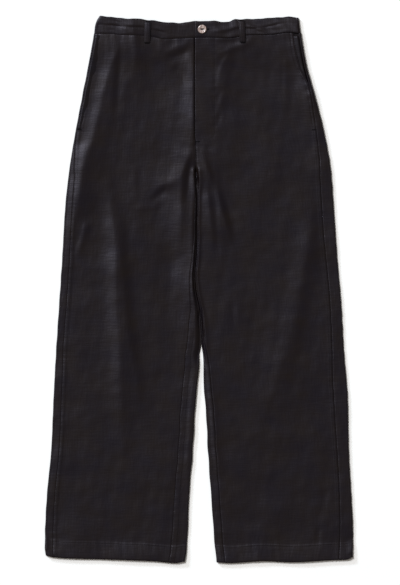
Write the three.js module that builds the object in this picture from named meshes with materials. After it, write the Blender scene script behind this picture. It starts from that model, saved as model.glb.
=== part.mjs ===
// Wide-leg trousers laid flat on a surface, face up.
// Lengths are millimetres: +X is the wearer's left, +Y runs from the hems to the waist, +Z is up.
// Each cloth piece is one closed wall. The fronts lie on the backs, and each back wraps round both
// folds of its leg, so that the side seam and the inseam lie a little inboard on the face.
// "Down" is the distance below the highest point of the waistband.

import * as THREE from "three";

// Driving sizes
const LENGTH = 1066.6;
const WAIST_SEAM = 38;
const FLY_END = 232;
const POCKET_END = 222;
const CROTCH = 304;
const HEM = 1062;
const HEM_DEPTH = 33;
const HEM_STEP = 3;

// Cloth and the way the layers lie
const CLOTH = 1.2;
const BAND_CLOTH = 1.6;
const INNER_CLOTH = 1.0;
const HEM_EXTRA = 0.7;
const SEAM_GAP = 0.3;
const LAYER_GAP = 0.3;
const LOFT = 3.6;
const LOOP_LIFT = 1.5;
const LOOP_REACH = 14;
const LIFT_FADE = 75;
const LOWEST_TROUGH = -1.2;
const HIGHEST_RIDGE = 2.0;
const FOLD_FADE = 0.3;
const FOLD_OVERRUN = 0.05;

// Fly, pockets, loops and button
const FLY_X = -7.7;
const SHIELD_WIDTH = 34;
const UNDERLAP = 38;
const LAP_RISE = CLOTH / 2 + LAYER_GAP + INNER_CLOTH / 2;
const BAND_LAP_RISE = BAND_CLOTH + LAYER_GAP;
const LAP_FLAT = 42;
const LAP_RAMP = 24;
const FACING_WIDTH = 27;
const LOOP_WIDTH = 11.5;
const LOOP_SLACK = 0.9;
const BAND_GROOVE = 0.4;
const BUTTON_RADIUS = 8.5;
const BUTTON_X = 6.3;
const BUTTON_DOWN = 26;

// Crotch: the backs turn up round the inner folds over this distance
const TURN = 32;

// Outer folds: distance from the middle line to the wearer's right and left edges
const OUTLINE = [
  { down: 0, outerRight: 193.5, outerLeft: 193 },
  { down: 8, outerRight: 199, outerLeft: 195.2 },
  { down: 20, outerRight: 203, outerLeft: 196.8 },
  { down: 35, outerRight: 204.7, outerLeft: 199 },
  { down: 94, outerRight: 215.2, outerLeft: 209.1 },
  { down: 164, outerRight: 229, outerLeft: 228.4 },
  { down: 234, outerRight: 242.3, outerLeft: 245.8 },
  { down: 304, outerRight: 253.6, outerLeft: 257.9 },
  { down: 374, outerRight: 261.2, outerLeft: 263.3 },
  { down: 468, outerRight: 266.7, outerLeft: 269.8 },
  { down: 562, outerRight: 272.9, outerLeft: 277.8 },
  { down: 655, outerRight: 279, outerLeft: 283.2 },
  { down: 749, outerRight: 284, outerLeft: 290.6 },
  { down: 842, outerRight: 288.1, outerLeft: 292.4 },
  { down: 936, outerRight: 296.9, outerLeft: 297.5 },
  { down: 1006, outerRight: 300.4, outerLeft: 300.8 },
  { down: 1044, outerRight: 300.8, outerLeft: 300.8 },
  { down: 1066, outerRight: 298.6, outerLeft: 300.4 },
];

// Inner edges: the middle seam above the crotch, then the inner fold of each leg
const INNER = [
  { down: 0, innerRight: -7.85, innerLeft: -7.55 },
  { down: 232, innerRight: -7.85, innerLeft: -7.55 },
  { down: 304, innerRight: -5.2, innerLeft: -4.8 },
  { down: 329, innerRight: -3.7, innerLeft: -2.8 },
  { down: 405, innerRight: -4.2, innerLeft: -3.4 },
  { down: 453, innerRight: -4.2, innerLeft: -3.4 },
  { down: 499, innerRight: -7.6, innerLeft: -6.8 },
  { down: 530, innerRight: -6.2, innerLeft: -5.4 },
  { down: 579, innerRight: 2.4, innerLeft: 3.2 },
  { down: 628, innerRight: 4.6, innerLeft: 5.6 },
  { down: 642, innerRight: 4.0, innerLeft: 7.4 },
  { down: 679, innerRight: 0.7, innerLeft: 8.1 },
  { down: 725, innerRight: -3.6, innerLeft: 9.5 },
  { down: 772, innerRight: -7.7, innerLeft: 13.7 },
  { down: 842, innerRight: -11.6, innerLeft: 17.1 },
  { down: 936, innerRight: -19, innerLeft: 23.7 },
  { down: 1030, innerRight: -23.1, innerLeft: 30.7 },
  { down: 1066, innerRight: -28, innerLeft: 34.6 },
];

// Seams: distance of each side seam and inseam inboard of its fold, and the open pocket mouth
const SEAMS = [
  { down: 35, sideRight: 3, sideLeft: 5, mouthRight: 0, mouthLeft: 10, inseamRight: 0, inseamLeft: 0 },
  { down: 60, sideRight: 3, sideLeft: 5, mouthRight: 0, mouthLeft: 11, inseamRight: 0, inseamLeft: 0 },
  { down: 100, sideRight: 3, sideLeft: 5, mouthRight: 0, mouthLeft: 9, inseamRight: 0, inseamLeft: 0 },
  { down: 140, sideRight: 3, sideLeft: 6, mouthRight: 0, mouthLeft: 0.5, inseamRight: 0, inseamLeft: 0 },
  { down: 218, sideRight: 3, sideLeft: 14, mouthRight: 0, mouthLeft: 0, inseamRight: 0, inseamLeft: 0 },
  { down: 304, sideRight: 10, sideLeft: 21, mouthRight: 0, mouthLeft: 0, inseamRight: 0, inseamLeft: 0 },
  { down: 314, sideRight: 12, sideLeft: 22, mouthRight: 0, mouthLeft: 0, inseamRight: 2.7, inseamLeft: 2.7 },
  { down: 400, sideRight: 14, sideLeft: 23, mouthRight: 0, mouthLeft: 0, inseamRight: 4.5, inseamLeft: 3.4 },
  { down: 530, sideRight: 15, sideLeft: 21, mouthRight: 0, mouthLeft: 0, inseamRight: 12, inseamLeft: 4 },
  { down: 640, sideRight: 14, sideLeft: 22, mouthRight: 0, mouthLeft: 0, inseamRight: 27, inseamLeft: 8 },
  { down: 730, sideRight: 16, sideLeft: 27, mouthRight: 0, mouthLeft: 0, inseamRight: 28, inseamLeft: 15.5 },
  { down: 880, sideRight: 16, sideLeft: 22, mouthRight: 0, mouthLeft: 0, inseamRight: 28, inseamLeft: 16.5 },
  { down: 1066, sideRight: 16, sideLeft: 27, mouthRight: 0, mouthLeft: 0, inseamRight: 31, inseamLeft: 17 },
];

// Waist: how far down the top edge and the seam of the waistband lie, across the waist
const WAIST = [
  { x: -205, top: 1, seam: 35 },
  { x: -193, top: 0, seam: 35 },
  { x: -173, top: 2, seam: 35 },
  { x: -146, top: 5, seam: 37.5 },
  { x: -117, top: 6, seam: 38 },
  { x: -88, top: 9.5, seam: 41 },
  { x: -63, top: 12.5, seam: 45 },
  { x: -40, top: 14, seam: 44 },
  { x: -8, top: 10.5, seam: 42.5 },
  { x: 25, top: 10, seam: 42 },
  { x: 57, top: 12, seam: 42.8 },
  { x: 72, top: 6.5, seam: 41 },
  { x: 96, top: 6.5, seam: 37 },
  { x: 140, top: 4, seam: 36 },
  { x: 175, top: 2, seam: 32 },
  { x: 200, top: 4, seam: 34 },
];

// Hem: how far down the hem edge lies, across both legs
const HEMLINE = [
  { x: -300, down: 1051 },
  { x: -286, down: 1055 },
  { x: -255, down: 1057.5 },
  { x: -200, down: 1059 },
  { x: -138, down: 1061 },
  { x: -90, down: 1063 },
  { x: -45, down: 1066.6 },
  { x: -28, down: 1064 },
  { x: 34, down: 1065 },
  { x: 60, down: 1066.6 },
  { x: 127, down: 1063 },
  { x: 180, down: 1065 },
  { x: 260, down: 1061 },
  { x: 288, down: 1060 },
  { x: 300, down: 1055 },
];

// Folds: each is a soft ridge or trough from one end to the other, bowed towards the wearer's left
const FOLDS = [
  { name: "hip ridge", x: -173, down: 84, toX: -232, toDown: 290, bow: 0, width: 11, rise: 1.5 },
  { name: "hip trough", x: -168, down: 112, toX: -176, toDown: 276, bow: 0, width: 15, rise: -1.0 },
  { name: "right leg ridge", x: -184, down: 322, toX: -160, toDown: 700, bow: 3, width: 12, rise: 2.0 },
  { name: "right leg trough", x: -160, down: 366, toX: -144, toDown: 560, bow: 0, width: 13, rise: -1.0 },
  { name: "right fly ridge", x: -28, down: 130, toX: -32, toDown: 296, bow: 0, width: 13, rise: 1.0 },
  { name: "right crotch ridge", x: -32, down: 290, toX: -98, toDown: 344, bow: 12, width: 11, rise: 1.5 },
  { name: "right crotch trough", x: -56, down: 326, toX: -100, toDown: 384, bow: 4, width: 11, rise: -1.1 },
  { name: "right thigh trough", x: -18, down: 268, toX: -42, toDown: 430, bow: 2, width: 9, rise: -1.2 },
  { name: "right inner ridge", x: -28, down: 430, toX: -30, toDown: 640, bow: 0, width: 14, rise: 1.1 },
  { name: "left crotch trough", x: 8, down: 272, toX: 62, toDown: 424, bow: 4, width: 10, rise: -1.2 },
  { name: "left crotch ridge", x: 32, down: 320, toX: 96, toDown: 408, bow: 6, width: 10, rise: 1.6 },
  { name: "left thigh ridge", x: 34, down: 352, toX: 40, toDown: 450, bow: 0, width: 10, rise: 1.1 },
  { name: "left waist ridge", x: 14, down: 92, toX: 104, toDown: 52, bow: 4, width: 12, rise: 0.8 },
  { name: "left leg ridge", x: 214, down: 396, toX: 150, toDown: 620, bow: 8, width: 15, rise: 1.8 },
  { name: "left leg trough", x: 232, down: 424, toX: 226, toDown: 512, bow: 0, width: 13, rise: -1.0 },
];

// The two sides of the garment, with the columns of the tables that belong to each
const RIGHT = {
  name: "right",
  sign: -1,
  outer: "outerRight",
  inner: "innerRight",
  side: "sideRight",
  mouth: "mouthRight",
  inseam: "inseamRight",
};
const LEFT = {
  name: "left",
  sign: 1,
  outer: "outerLeft",
  inner: "innerLeft",
  side: "sideLeft",
  mouth: "mouthLeft",
  inseam: "inseamLeft",
};

// Grids
const FRONT_COLUMNS = 15;
const BACK_COLUMNS = 5;
const TURN_STEPS = 4;
const BAND_COLUMNS = 16;
const STRIP_COLUMNS = 2;
const SHIELD_COLUMNS = 3;
const SHIELD_ROWS = 9;
const FACING_ROWS = 10;
const LOOP_ROWS = 8;
const BACK_LOOP_ROWS = 4;
const BUTTON_SIDES = 28;

// Stretches of a leg panel and the rows in each, closer at the crotch and at the top of the hem
const LEG_STRETCHES = [
  { to: CROTCH, rows: 10 },
  { to: CROTCH + TURN, rows: 3 },
  { to: HEM - HEM_DEPTH - HEM_STEP, rows: 23 },
  { to: HEM - HEM_DEPTH, rows: 1 },
  { to: HEM, rows: 1 },
];

// Lengthwise rows of a waistband from its seam to its top edge, with a sewn groove along the middle
const BAND_ROWS = [
  { across: 0, groove: 0 },
  { across: 0.3, groove: 0 },
  { across: 0.5, groove: BAND_GROOVE },
  { across: 0.7, groove: 0 },
  { across: 1, groove: 0 },
];

// Materials
const blackCloth = new THREE.MeshStandardMaterial({ color: 0x26252a, roughness: 0.85, metalness: 0 });
const innerCloth = new THREE.MeshStandardMaterial({ color: 0x1f1e22, roughness: 0.9, metalness: 0 });
const shell = new THREE.MeshStandardMaterial({ color: 0xcbb5a8, roughness: 0.35, metalness: 0 });

const lerp = THREE.MathUtils.lerp;
const ease = THREE.MathUtils.smoothstep;

// Reads a column of a table at a place along another column, on a smooth curve through its rows
function read(table, by, column, at) {
  const last = table.length - 1;
  if (at <= table[0][by]) return table[0][column];
  if (at >= table[last][by]) return table[last][column];
  let row = 0;
  while (table[row + 1][by] < at) row += 1;
  const rise = (index) => {
    const first = THREE.MathUtils.clamp(index, 0, last - 1);
    const run = table[first + 1][by] - table[first][by];
    return (table[first + 1][column] - table[first][column]) / run;
  };
  const slope = (index) => {
    const before = rise(index - 1);
    const after = rise(index);
    return before * after > 0 ? (2 * before * after) / (before + after) : 0;
  };
  const span = table[row + 1][by] - table[row][by];
  const t = (at - table[row][by]) / span;
  const start = table[row][column] * (1 + 2 * t) * (1 - t) ** 2 + slope(row) * span * t * (1 - t) ** 2;
  const end = table[row + 1][column] * t ** 2 * (3 - 2 * t) - slope(row + 1) * span * t ** 2 * (1 - t);
  return start + end;
}

// Height that one fold adds at a point of the face
function foldRise(fold, x, down) {
  const length = Math.hypot(fold.toX - fold.x, fold.toDown - fold.down);
  const alongX = (fold.toX - fold.x) / length;
  const alongDown = (fold.toDown - fold.down) / length;
  const t = ((x - fold.x) * alongX + (down - fold.down) * alongDown) / length;
  const middle = fold.bow * 4 * t * (1 - t);
  const off = (x - fold.x) * alongDown - (down - fold.down) * alongX - middle;
  const end = 1 + FOLD_OVERRUN;
  const taper = ease(t, -FOLD_OVERRUN, FOLD_FADE - FOLD_OVERRUN) * (1 - ease(t, end - FOLD_FADE, end));
  return fold.rise * taper * Math.exp(-((off / fold.width) ** 2));
}

// Distance that the back loops hold the waist off the surface
function lift(down) {
  return LOOP_LIFT * (1 - ease(down, WAIST_SEAM + LOOP_REACH, WAIST_SEAM + LIFT_FADE));
}

// Rise of the left front where it lies over the fly shield
function lapRise(x, down) {
  const across = 1 - ease(x, FLY_X + LAP_FLAT, FLY_X + LAP_FLAT + LAP_RAMP);
  return LAP_RISE * across * (1 - ease(down, FLY_END + LAP_RAMP, FLY_END + 2 * LAP_RAMP));
}

// Height of the middle of the face cloth
function faceHeight(side, x, down) {
  const folds = FOLDS.reduce((sum, fold) => sum + foldRise(fold, x, down), 0);
  const lap = side === LEFT ? lapRise(x, down) : 0;
  return LOFT + lift(down) + lap + THREE.MathUtils.clamp(folds, LOWEST_TROUGH, HIGHEST_RIDGE);
}

const backHeight = (down) => CLOTH / 2 + lift(down);
const outerX = (side, down) => side.sign * read(OUTLINE, "down", side.outer, down);
const innerX = (side, down) => read(INNER, "down", side.inner, down);
const seam = (column, down) => read(SEAMS, "down", column, down);

// How far down the waist seam lies: a curve on the face, a straight line on the back
function waistSeam(side, x, under) {
  if (!under) return read(WAIST, "x", "seam", x);
  const edge = side.sign * OUTLINE[0].outerRight;
  const across = THREE.MathUtils.clamp((edge - x) / (edge - FLY_X), 0, 1);
  return lerp(read(WAIST, "x", "seam", edge), read(WAIST, "x", "seam", FLY_X), across);
}

// Bends a level row of the grid to the waist seam and to the hem edge
function settle(side, x, level, under) {
  const waist = waistSeam(side, x, under) - WAIST_SEAM + SEAM_GAP;
  const hem = read(HEMLINE, "x", "down", x) - HEM;
  const nearWaist = 1 - THREE.MathUtils.clamp((level - WAIST_SEAM) / CROTCH, 0, 1);
  const nearHem = THREE.MathUtils.clamp(1 - (HEM - level) / (2 * HEM_DEPTH), 0, 1);
  return level + waist * nearWaist + hem * nearHem;
}

const at = (x, down, z) => new THREE.Vector3(x, LENGTH / 2 - down, z);

// Levels of the rows of a leg panel, from the waist seam to the hem
function legLevels() {
  const levels = [WAIST_SEAM];
  for (const stretch of LEG_STRETCHES) {
    const from = levels[levels.length - 1];
    levels.push(...evenLevels(from, stretch.to, stretch.rows).slice(1));
  }
  return levels;
}

// Gives each point of a section its normal and its outside and inside distances from the middle
function offsetSection(points, sign) {
  return points.map((point, index) => {
    const before = points[Math.max(index - 1, 0)];
    const after = points[Math.min(index + 1, points.length - 1)];
    const tangent = new THREE.Vector2(after.x - before.x, after.z - before.z).normalize();
    const left = new THREE.Vector2(-tangent.y, tangent.x).multiplyScalar(sign);
    return { ...point, normal: point.level ? new THREE.Vector2(0, 1) : left };
  });
}

// Turns rows of offset points into the outside and inside grids of a wall
function wallFromRows(rows) {
  const side = (distance) => rows.map((row) => row.map((point) => {
    const away = distance(point);
    return at(point.x + point.normal.x * away, point.down, point.z + point.normal.y * away);
  }));
  return closedWall(side((point) => point.outside), side((point) => -point.inside));
}

// Closes a wall: an outside grid, an inside grid and the rim between their edges
function closedWall(outside, inside) {
  const rows = outside.length;
  const columns = outside[0].length;
  const positions = [...outside.flat(), ...inside.flat()].flatMap((point) => point.toArray());
  const outer = (row, column) => row * columns + column;
  const inner = (row, column) => rows * columns + row * columns + column;
  const faces = [];
  const quad = (a, b, c, d) => faces.push(a, b, c, a, c, d);
  for (let row = 0; row < rows - 1; row += 1) {
    for (let column = 0; column < columns - 1; column += 1) {
      const next = column + 1;
      quad(outer(row, column), outer(row, next), outer(row + 1, next), outer(row + 1, column));
      quad(inner(row, column), inner(row + 1, column), inner(row + 1, next), inner(row, next));
    }
    quad(outer(row, 0), outer(row + 1, 0), inner(row + 1, 0), inner(row, 0));
    const end = columns - 1;
    quad(outer(row + 1, end), outer(row, end), inner(row, end), inner(row + 1, end));
  }
  for (let column = 0; column < columns - 1; column += 1) {
    quad(outer(0, column + 1), outer(0, column), inner(0, column), inner(0, column + 1));
    const end = rows - 1;
    quad(outer(end, column), outer(end, column + 1), inner(end, column + 1), inner(end, column));
  }
  const geometry = new THREE.BufferGeometry();
  geometry.setAttribute("position", new THREE.Float32BufferAttribute(positions, 3));
  geometry.setIndex(signedVolume(positions, faces) > 0 ? faces : faces.slice().reverse());
  geometry.computeVertexNormals();
  return geometry;
}

// Volume inside a closed set of faces, negative when they point inwards
function signedVolume(positions, faces) {
  const corner = (index) => new THREE.Vector3().fromArray(positions, index * 3);
  let volume = 0;
  for (let face = 0; face < faces.length; face += 3) {
    const normal = corner(faces[face + 1]).cross(corner(faces[face + 2]));
    volume += corner(faces[face]).dot(normal) / 6;
  }
  return volume;
}

function piece(name, geometry, material) {
  const mesh = new THREE.Mesh(geometry, material);
  mesh.name = name;
  return mesh;
}

// Extra thickness of the turned-up hem
const hemExtra = (level) => (level >= HEM - HEM_DEPTH ? HEM_EXTRA : 0);

// Front panel: from the side seam or pocket mouth to the middle seam or inseam
function frontRow(side, level) {
  const sideGap = seam(side.side, level) + seam(side.mouth, level) + SEAM_GAP / 2;
  const innerGap = seam(side.inseam, level) + SEAM_GAP / 2;
  const start = outerX(side, level) - side.sign * sideGap;
  const end = innerX(side, level) + side.sign * innerGap;
  const points = [];
  for (let column = 0; column <= FRONT_COLUMNS; column += 1) {
    const x = lerp(start, end, column / FRONT_COLUMNS);
    const down = settle(side, x, level, false);
    const onEdge = column === 0 || column === FRONT_COLUMNS;
    points.push({
      x,
      down,
      z: faceHeight(side, x, down),
      level: onEdge,
      outside: CLOTH / 2 + hemExtra(level),
      inside: CLOTH / 2,
    });
  }
  return offsetSection(points, -side.sign);
}

function frontPanel(side) {
  const rows = legLevels().map((level) => frontRow(side, level));
  return piece(`front_${side.name}`, wallFromRows(rows), blackCloth);
}

// Half circle of the outer fold, from the face down to the back
function outerFold(side, level) {
  const edge = outerX(side, level);
  const back = backHeight(level);
  const face = faceHeight(side, edge - side.sign * CLOTH, level);
  const radius = (face - back) / 2;
  const middle = edge - side.sign * (radius + CLOTH / 2);
  const points = [];
  for (let step = 0; step <= TURN_STEPS; step += 1) {
    const angle = Math.PI / 2 - (Math.PI * step) / TURN_STEPS;
    const x = middle + side.sign * radius * Math.cos(angle);
    points.push({ x, z: back + radius + radius * Math.sin(angle), face: step === 0 });
  }
  return points;
}

// End of the back at its inner edge: flat above the crotch, then turned up round the inner fold
function innerEnd(side, level) {
  const edge = innerX(side, level);
  const back = backHeight(level);
  const turn = THREE.MathUtils.clamp((level - CROTCH) / TURN, 0, 1);
  const radius = (faceHeight(side, edge + side.sign * CLOTH, level) - back) / 2;
  const lip = Math.max(seam(side.inseam, level) - SEAM_GAP / 2 - radius - CLOTH / 2, CLOTH / 2);
  const bend = turn / radius;
  const steps = [];
  for (let step = 0; step <= TURN_STEPS; step += 1) {
    const length = (Math.PI * radius * step) / TURN_STEPS;
    const reach = bend > 0 ? Math.sin(bend * length) / bend : length;
    const rise = bend > 0 ? (1 - Math.cos(bend * length)) / bend : 0;
    steps.push({ reach, z: back + rise });
  }
  const turned = Math.PI * turn;
  const last = steps[TURN_STEPS];
  steps.push({ reach: last.reach + lip * Math.cos(turned), z: last.z + lip * Math.sin(turned) });
  const skin = (CLOTH / 2) * Math.sin(Math.min(turned, Math.PI / 2));
  const widest = Math.max(...steps.map((step) => step.reach)) + skin;
  const points = steps.map((step) => ({ x: edge + side.sign * (widest - step.reach), z: step.z }));
  if (turn === 1) {
    const end = points[points.length - 1];
    end.z = faceHeight(side, end.x, level);
    end.level = true;
    end.face = true;
  }
  return points;
}

// Back panel: side seam, outer fold, the cloth on the surface, then the inner end
function backRow(side, level) {
  const lipX = outerX(side, level) - side.sign * (seam(side.side, level) - SEAM_GAP / 2);
  const lip = { x: lipX, z: faceHeight(side, lipX, level), level: true, face: true };
  const fold = outerFold(side, level);
  const end = innerEnd(side, level);
  const under = [];
  for (let column = 1; column <= BACK_COLUMNS; column += 1) {
    const x = lerp(fold[TURN_STEPS].x, end[0].x, column / (BACK_COLUMNS + 1));
    under.push({ x, z: backHeight(level) });
  }
  const points = [lip, ...fold, ...under, ...end].map((point) => {
    const down = settle(side, point.x, level, !point.face);
    const extra = hemExtra(level);
    return {
      ...point,
      down,
      outside: CLOTH / 2 + (point.face ? extra : 0),
      inside: CLOTH / 2 + (point.face ? 0 : extra / 2),
    };
  });
  return offsetSection(points, side.sign);
}

function backPanel(side) {
  const rows = legLevels().map((level) => backRow(side, level));
  return piece(`back_${side.name}`, wallFromRows(rows), blackCloth);
}

// Height of the middle of the waistband on the face
function bandHeight(side, x) {
  const flat = LOFT + LOOP_LIFT;
  if (side === RIGHT) return flat;
  return flat + BAND_LAP_RISE * (1 - ease(x, FLY_X + LAP_FLAT, FLY_X + LAP_FLAT + LAP_RAMP));
}

// One lengthwise row of a waistband, from its front end round the side to the centre back
function bandRow(side, { across, groove }) {
  const downAt = (x, under) => lerp(waistSeam(side, x, under), read(WAIST, "x", "top", x), across);
  const frontEnd = side === LEFT ? FLY_X + SEAM_GAP / 2 : FLY_X + UNDERLAP;
  const centreBack = FLY_X + (side.sign * SEAM_GAP) / 2;
  const edge = outerX(side, downAt(side.sign * OUTLINE[0].outerRight, false));
  const face = LOFT + LOOP_LIFT;
  const back = LOOP_LIFT + BAND_CLOTH / 2;
  const radius = (face - back) / 2;
  const middle = edge - side.sign * (radius + BAND_CLOTH / 2);
  const points = [];
  for (let column = 0; column < BAND_COLUMNS; column += 1) {
    const x = lerp(frontEnd, middle, column / BAND_COLUMNS);
    points.push({ x, z: bandHeight(side, x), level: column === 0, outside: BAND_CLOTH / 2 - groove });
  }
  for (let step = 0; step <= TURN_STEPS; step += 1) {
    const angle = Math.PI / 2 - (Math.PI * step) / TURN_STEPS;
    const x = middle + side.sign * radius * Math.cos(angle);
    const z = back + radius + radius * Math.sin(angle);
    points.push({ x, z, under: step > 0, outside: BAND_CLOTH / 2 });
  }
  for (let column = 1; column <= BACK_COLUMNS; column += 1) {
    const x = lerp(middle, centreBack, column / BACK_COLUMNS);
    points.push({ x, z: back, under: true, outside: BAND_CLOTH / 2 });
  }
  const finished = points.map((point) => {
    const down = downAt(point.x, point.under);
    return { ...point, down, inside: BAND_CLOTH / 2 };
  });
  return offsetSection(finished, side.sign);
}

function waistband(side) {
  const rows = BAND_ROWS.map((row) => bandRow(side, row));
  return piece(`waistband_${side.name}`, wallFromRows(rows), blackCloth);
}

// Flat strip between two x limits and two levels, at a height worked out for each point
function strip(name, levels, columns, xAt, heightAt, thickness, material) {
  const rows = levels.map((level) => {
    const row = [];
    for (let column = 0; column <= columns; column += 1) {
      const x = xAt(level, column / columns);
      const half = thickness / 2;
      row.push({ x, down: level, z: heightAt(x, level), level: true, outside: half, inside: half });
    }
    return offsetSection(row, 1);
  });
  return piece(name, wallFromRows(rows), material);
}

function evenLevels(from, to, steps) {
  const levels = [];
  for (let step = 0; step <= steps; step += 1) levels.push(lerp(from, to, step / steps));
  return levels;
}

// Strip sewn to the right front's fly edge, under the left front
function flyShield() {
  const start = read(WAIST, "x", "seam", FLY_X) + SEAM_GAP;
  const xAt = (level, across) => FLY_X + SEAM_GAP + SHIELD_WIDTH * across;
  const heightAt = (x, level) => LOFT + lift(level);
  const levels = evenLevels(start, FLY_END, SHIELD_ROWS);
  return strip("fly_shield", levels, SHIELD_COLUMNS, xAt, heightAt, INNER_CLOTH, innerCloth);
}

// Cloth that shows in the pocket mouth, from the side seam to under the front
function pocketFacing(side) {
  const xAt = (level, across) => {
    const width = FACING_WIDTH + seam(side.mouth, level);
    return outerX(side, level) - side.sign * (seam(side.side, level) + SEAM_GAP / 2 + width * across);
  };
  const heightAt = (x, level) => CLOTH + lift(level) + LAYER_GAP + INNER_CLOTH / 2;
  const levels = evenLevels(WAIST_SEAM, POCKET_END, FACING_ROWS);
  const name = `pocket_facing_${side.name}`;
  return strip(name, levels, STRIP_COLUMNS, xAt, heightAt, INNER_CLOTH, innerCloth);
}

// Front belt loops: middle of the loop at its top and bottom ends
const FRONT_LOOPS = [
  { name: "belt_loop_front_right", side: RIGHT, x: -99.5, down: 10.5, toX: -101.5, toDown: 54 },
  { name: "belt_loop_front_left", side: LEFT, x: 83, down: 8.5, toX: 85.5, toDown: 53 },
];

function frontLoop(loop) {
  const xAt = (level, across) => {
    const middle = lerp(loop.x, loop.toX, (level - loop.down) / (loop.toDown - loop.down));
    return middle + LOOP_WIDTH * (across - 0.5);
  };
  const heightAt = (x, level) => {
    const band = bandHeight(loop.side, x) + BAND_CLOTH / 2;
    const panel = faceHeight(loop.side, x, level) + CLOTH / 2;
    const t = (level - loop.down) / (loop.toDown - loop.down);
    return Math.max(band, panel) + LAYER_GAP + CLOTH / 2 + LOOP_SLACK * Math.sin(Math.PI * t);
  };
  const levels = evenLevels(loop.down, loop.toDown, LOOP_ROWS);
  return strip(loop.name, levels, STRIP_COLUMNS, xAt, heightAt, CLOTH, blackCloth);
}

// Back belt loops, flat between the surface and the back of the waist
const BACK_LOOPS = [
  { name: "belt_loop_back_right", x: -118 },
  { name: "belt_loop_back_centre", x: FLY_X },
  { name: "belt_loop_back_left", x: 102 },
];

function backLoop(loop) {
  const start = read(WAIST, "x", "top", loop.x) + LAYER_GAP;
  const end = read(WAIST, "x", "seam", loop.x) + LOOP_REACH - LAYER_GAP;
  const thickness = LOOP_LIFT - LAYER_GAP;
  const xAt = (level, across) => loop.x + LOOP_WIDTH * (across - 0.5);
  const heightAt = () => thickness / 2;
  const levels = evenLevels(start, end, BACK_LOOP_ROWS);
  return strip(loop.name, levels, STRIP_COLUMNS, xAt, heightAt, thickness, blackCloth);
}

// Round button with a raised rim and a hollow middle, from its axis out to the rim and back
function button() {
  const profile = [
    [0, 0],
    [0.55, 0],
    [0.86, 0.6],
    [1, 1.5],
    [0.97, 2.5],
    [0.84, 3],
    [0.68, 2.8],
    [0.45, 2.2],
    [0, 2],
  ].map(([radius, height]) => new THREE.Vector2(radius * BUTTON_RADIUS, height));
  const geometry = new THREE.LatheGeometry(profile, BUTTON_SIDES);
  geometry.rotateX(Math.PI / 2);
  const mesh = piece("button", geometry, shell);
  const bandTop = bandHeight(LEFT, BUTTON_X) + BAND_CLOTH / 2;
  mesh.position.copy(at(BUTTON_X, BUTTON_DOWN, bandTop + LAYER_GAP));
  return mesh;
}

function trousers() {
  const group = new THREE.Group();
  for (const side of [RIGHT, LEFT]) {
    group.add(backPanel(side), frontPanel(side), waistband(side), pocketFacing(side));
  }
  group.add(flyShield(), button());
  FRONT_LOOPS.forEach((loop) => group.add(frontLoop(loop)));
  BACK_LOOPS.forEach((loop) => group.add(backLoop(loop)));
  return group;
}

const group = trousers();

export default group;
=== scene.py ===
"""Wide-leg trousers laid flat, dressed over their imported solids.

Lengths are metres in the frame of the solids: +X is the wearer's left, +Y runs from the hems to the
waist and +Z is up. "Down" is the distance below the highest point of the waistband. Each cloth piece
is a thin closed wall whose height over the surface is worked out from its seams, folds and puckers.
"""

import logging
import math
from collections.abc import Callable
from dataclasses import dataclass, field
from enum import Enum

import bpy
import numpy as np
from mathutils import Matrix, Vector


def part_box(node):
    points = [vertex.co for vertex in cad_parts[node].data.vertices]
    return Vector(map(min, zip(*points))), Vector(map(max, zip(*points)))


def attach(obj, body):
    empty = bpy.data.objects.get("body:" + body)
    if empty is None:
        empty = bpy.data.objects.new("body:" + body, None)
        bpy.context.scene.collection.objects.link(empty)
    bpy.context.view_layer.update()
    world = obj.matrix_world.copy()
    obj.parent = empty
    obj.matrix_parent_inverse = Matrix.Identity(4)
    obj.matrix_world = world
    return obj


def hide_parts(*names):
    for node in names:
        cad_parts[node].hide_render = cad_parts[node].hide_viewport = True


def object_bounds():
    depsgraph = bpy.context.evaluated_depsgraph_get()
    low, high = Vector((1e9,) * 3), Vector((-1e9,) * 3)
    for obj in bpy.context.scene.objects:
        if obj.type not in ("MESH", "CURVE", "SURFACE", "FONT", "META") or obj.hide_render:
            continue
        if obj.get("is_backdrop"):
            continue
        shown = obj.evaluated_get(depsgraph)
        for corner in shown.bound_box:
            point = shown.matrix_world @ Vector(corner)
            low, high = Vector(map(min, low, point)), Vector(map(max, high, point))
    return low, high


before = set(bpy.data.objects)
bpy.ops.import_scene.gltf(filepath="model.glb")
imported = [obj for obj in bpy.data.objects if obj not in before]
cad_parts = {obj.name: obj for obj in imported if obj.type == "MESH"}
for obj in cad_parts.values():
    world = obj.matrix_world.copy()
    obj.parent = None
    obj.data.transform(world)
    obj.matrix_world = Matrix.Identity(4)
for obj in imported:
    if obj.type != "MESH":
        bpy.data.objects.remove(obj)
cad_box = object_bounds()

log = logging.getLogger("trousers")
Array = np.ndarray
Colour = tuple[float, float, float]
Place = tuple[float, float, float]
MM = 0.001


class Side(Enum):
    """The wearer's two sides. The value is the sign of x on that side."""

    RIGHT = -1
    LEFT = 1

    @property
    def sign(self) -> int:
        """Sign of x on this side."""
        return self.value

    @property
    def label(self) -> str:
        """Name of the side as the pieces spell it."""
        return self.name.lower()


class Lay(Enum):
    """How stitches lie on their path."""

    ALONG = 0.0
    ACROSS = math.pi / 2


@dataclass(frozen=True)
class EdgeRow:
    """Where an edge of each of the two sides lies at one level."""

    down: float
    right: float
    left: float


@dataclass(frozen=True)
class SeamRow:
    """Distances inboard of the folds of each side seam, pocket mouth and inseam at one level."""

    down: float
    side_right: float
    side_left: float
    mouth_right: float
    mouth_left: float
    inseam_right: float
    inseam_left: float


@dataclass(frozen=True)
class WaistRow:
    """How far down the waistband's top edge and its seam lie at one place across the waist."""

    x: float
    top: float
    seam: float


@dataclass(frozen=True)
class HemRow:
    """How far down the hem edge lies at one place across the legs."""

    x: float
    down: float


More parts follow.
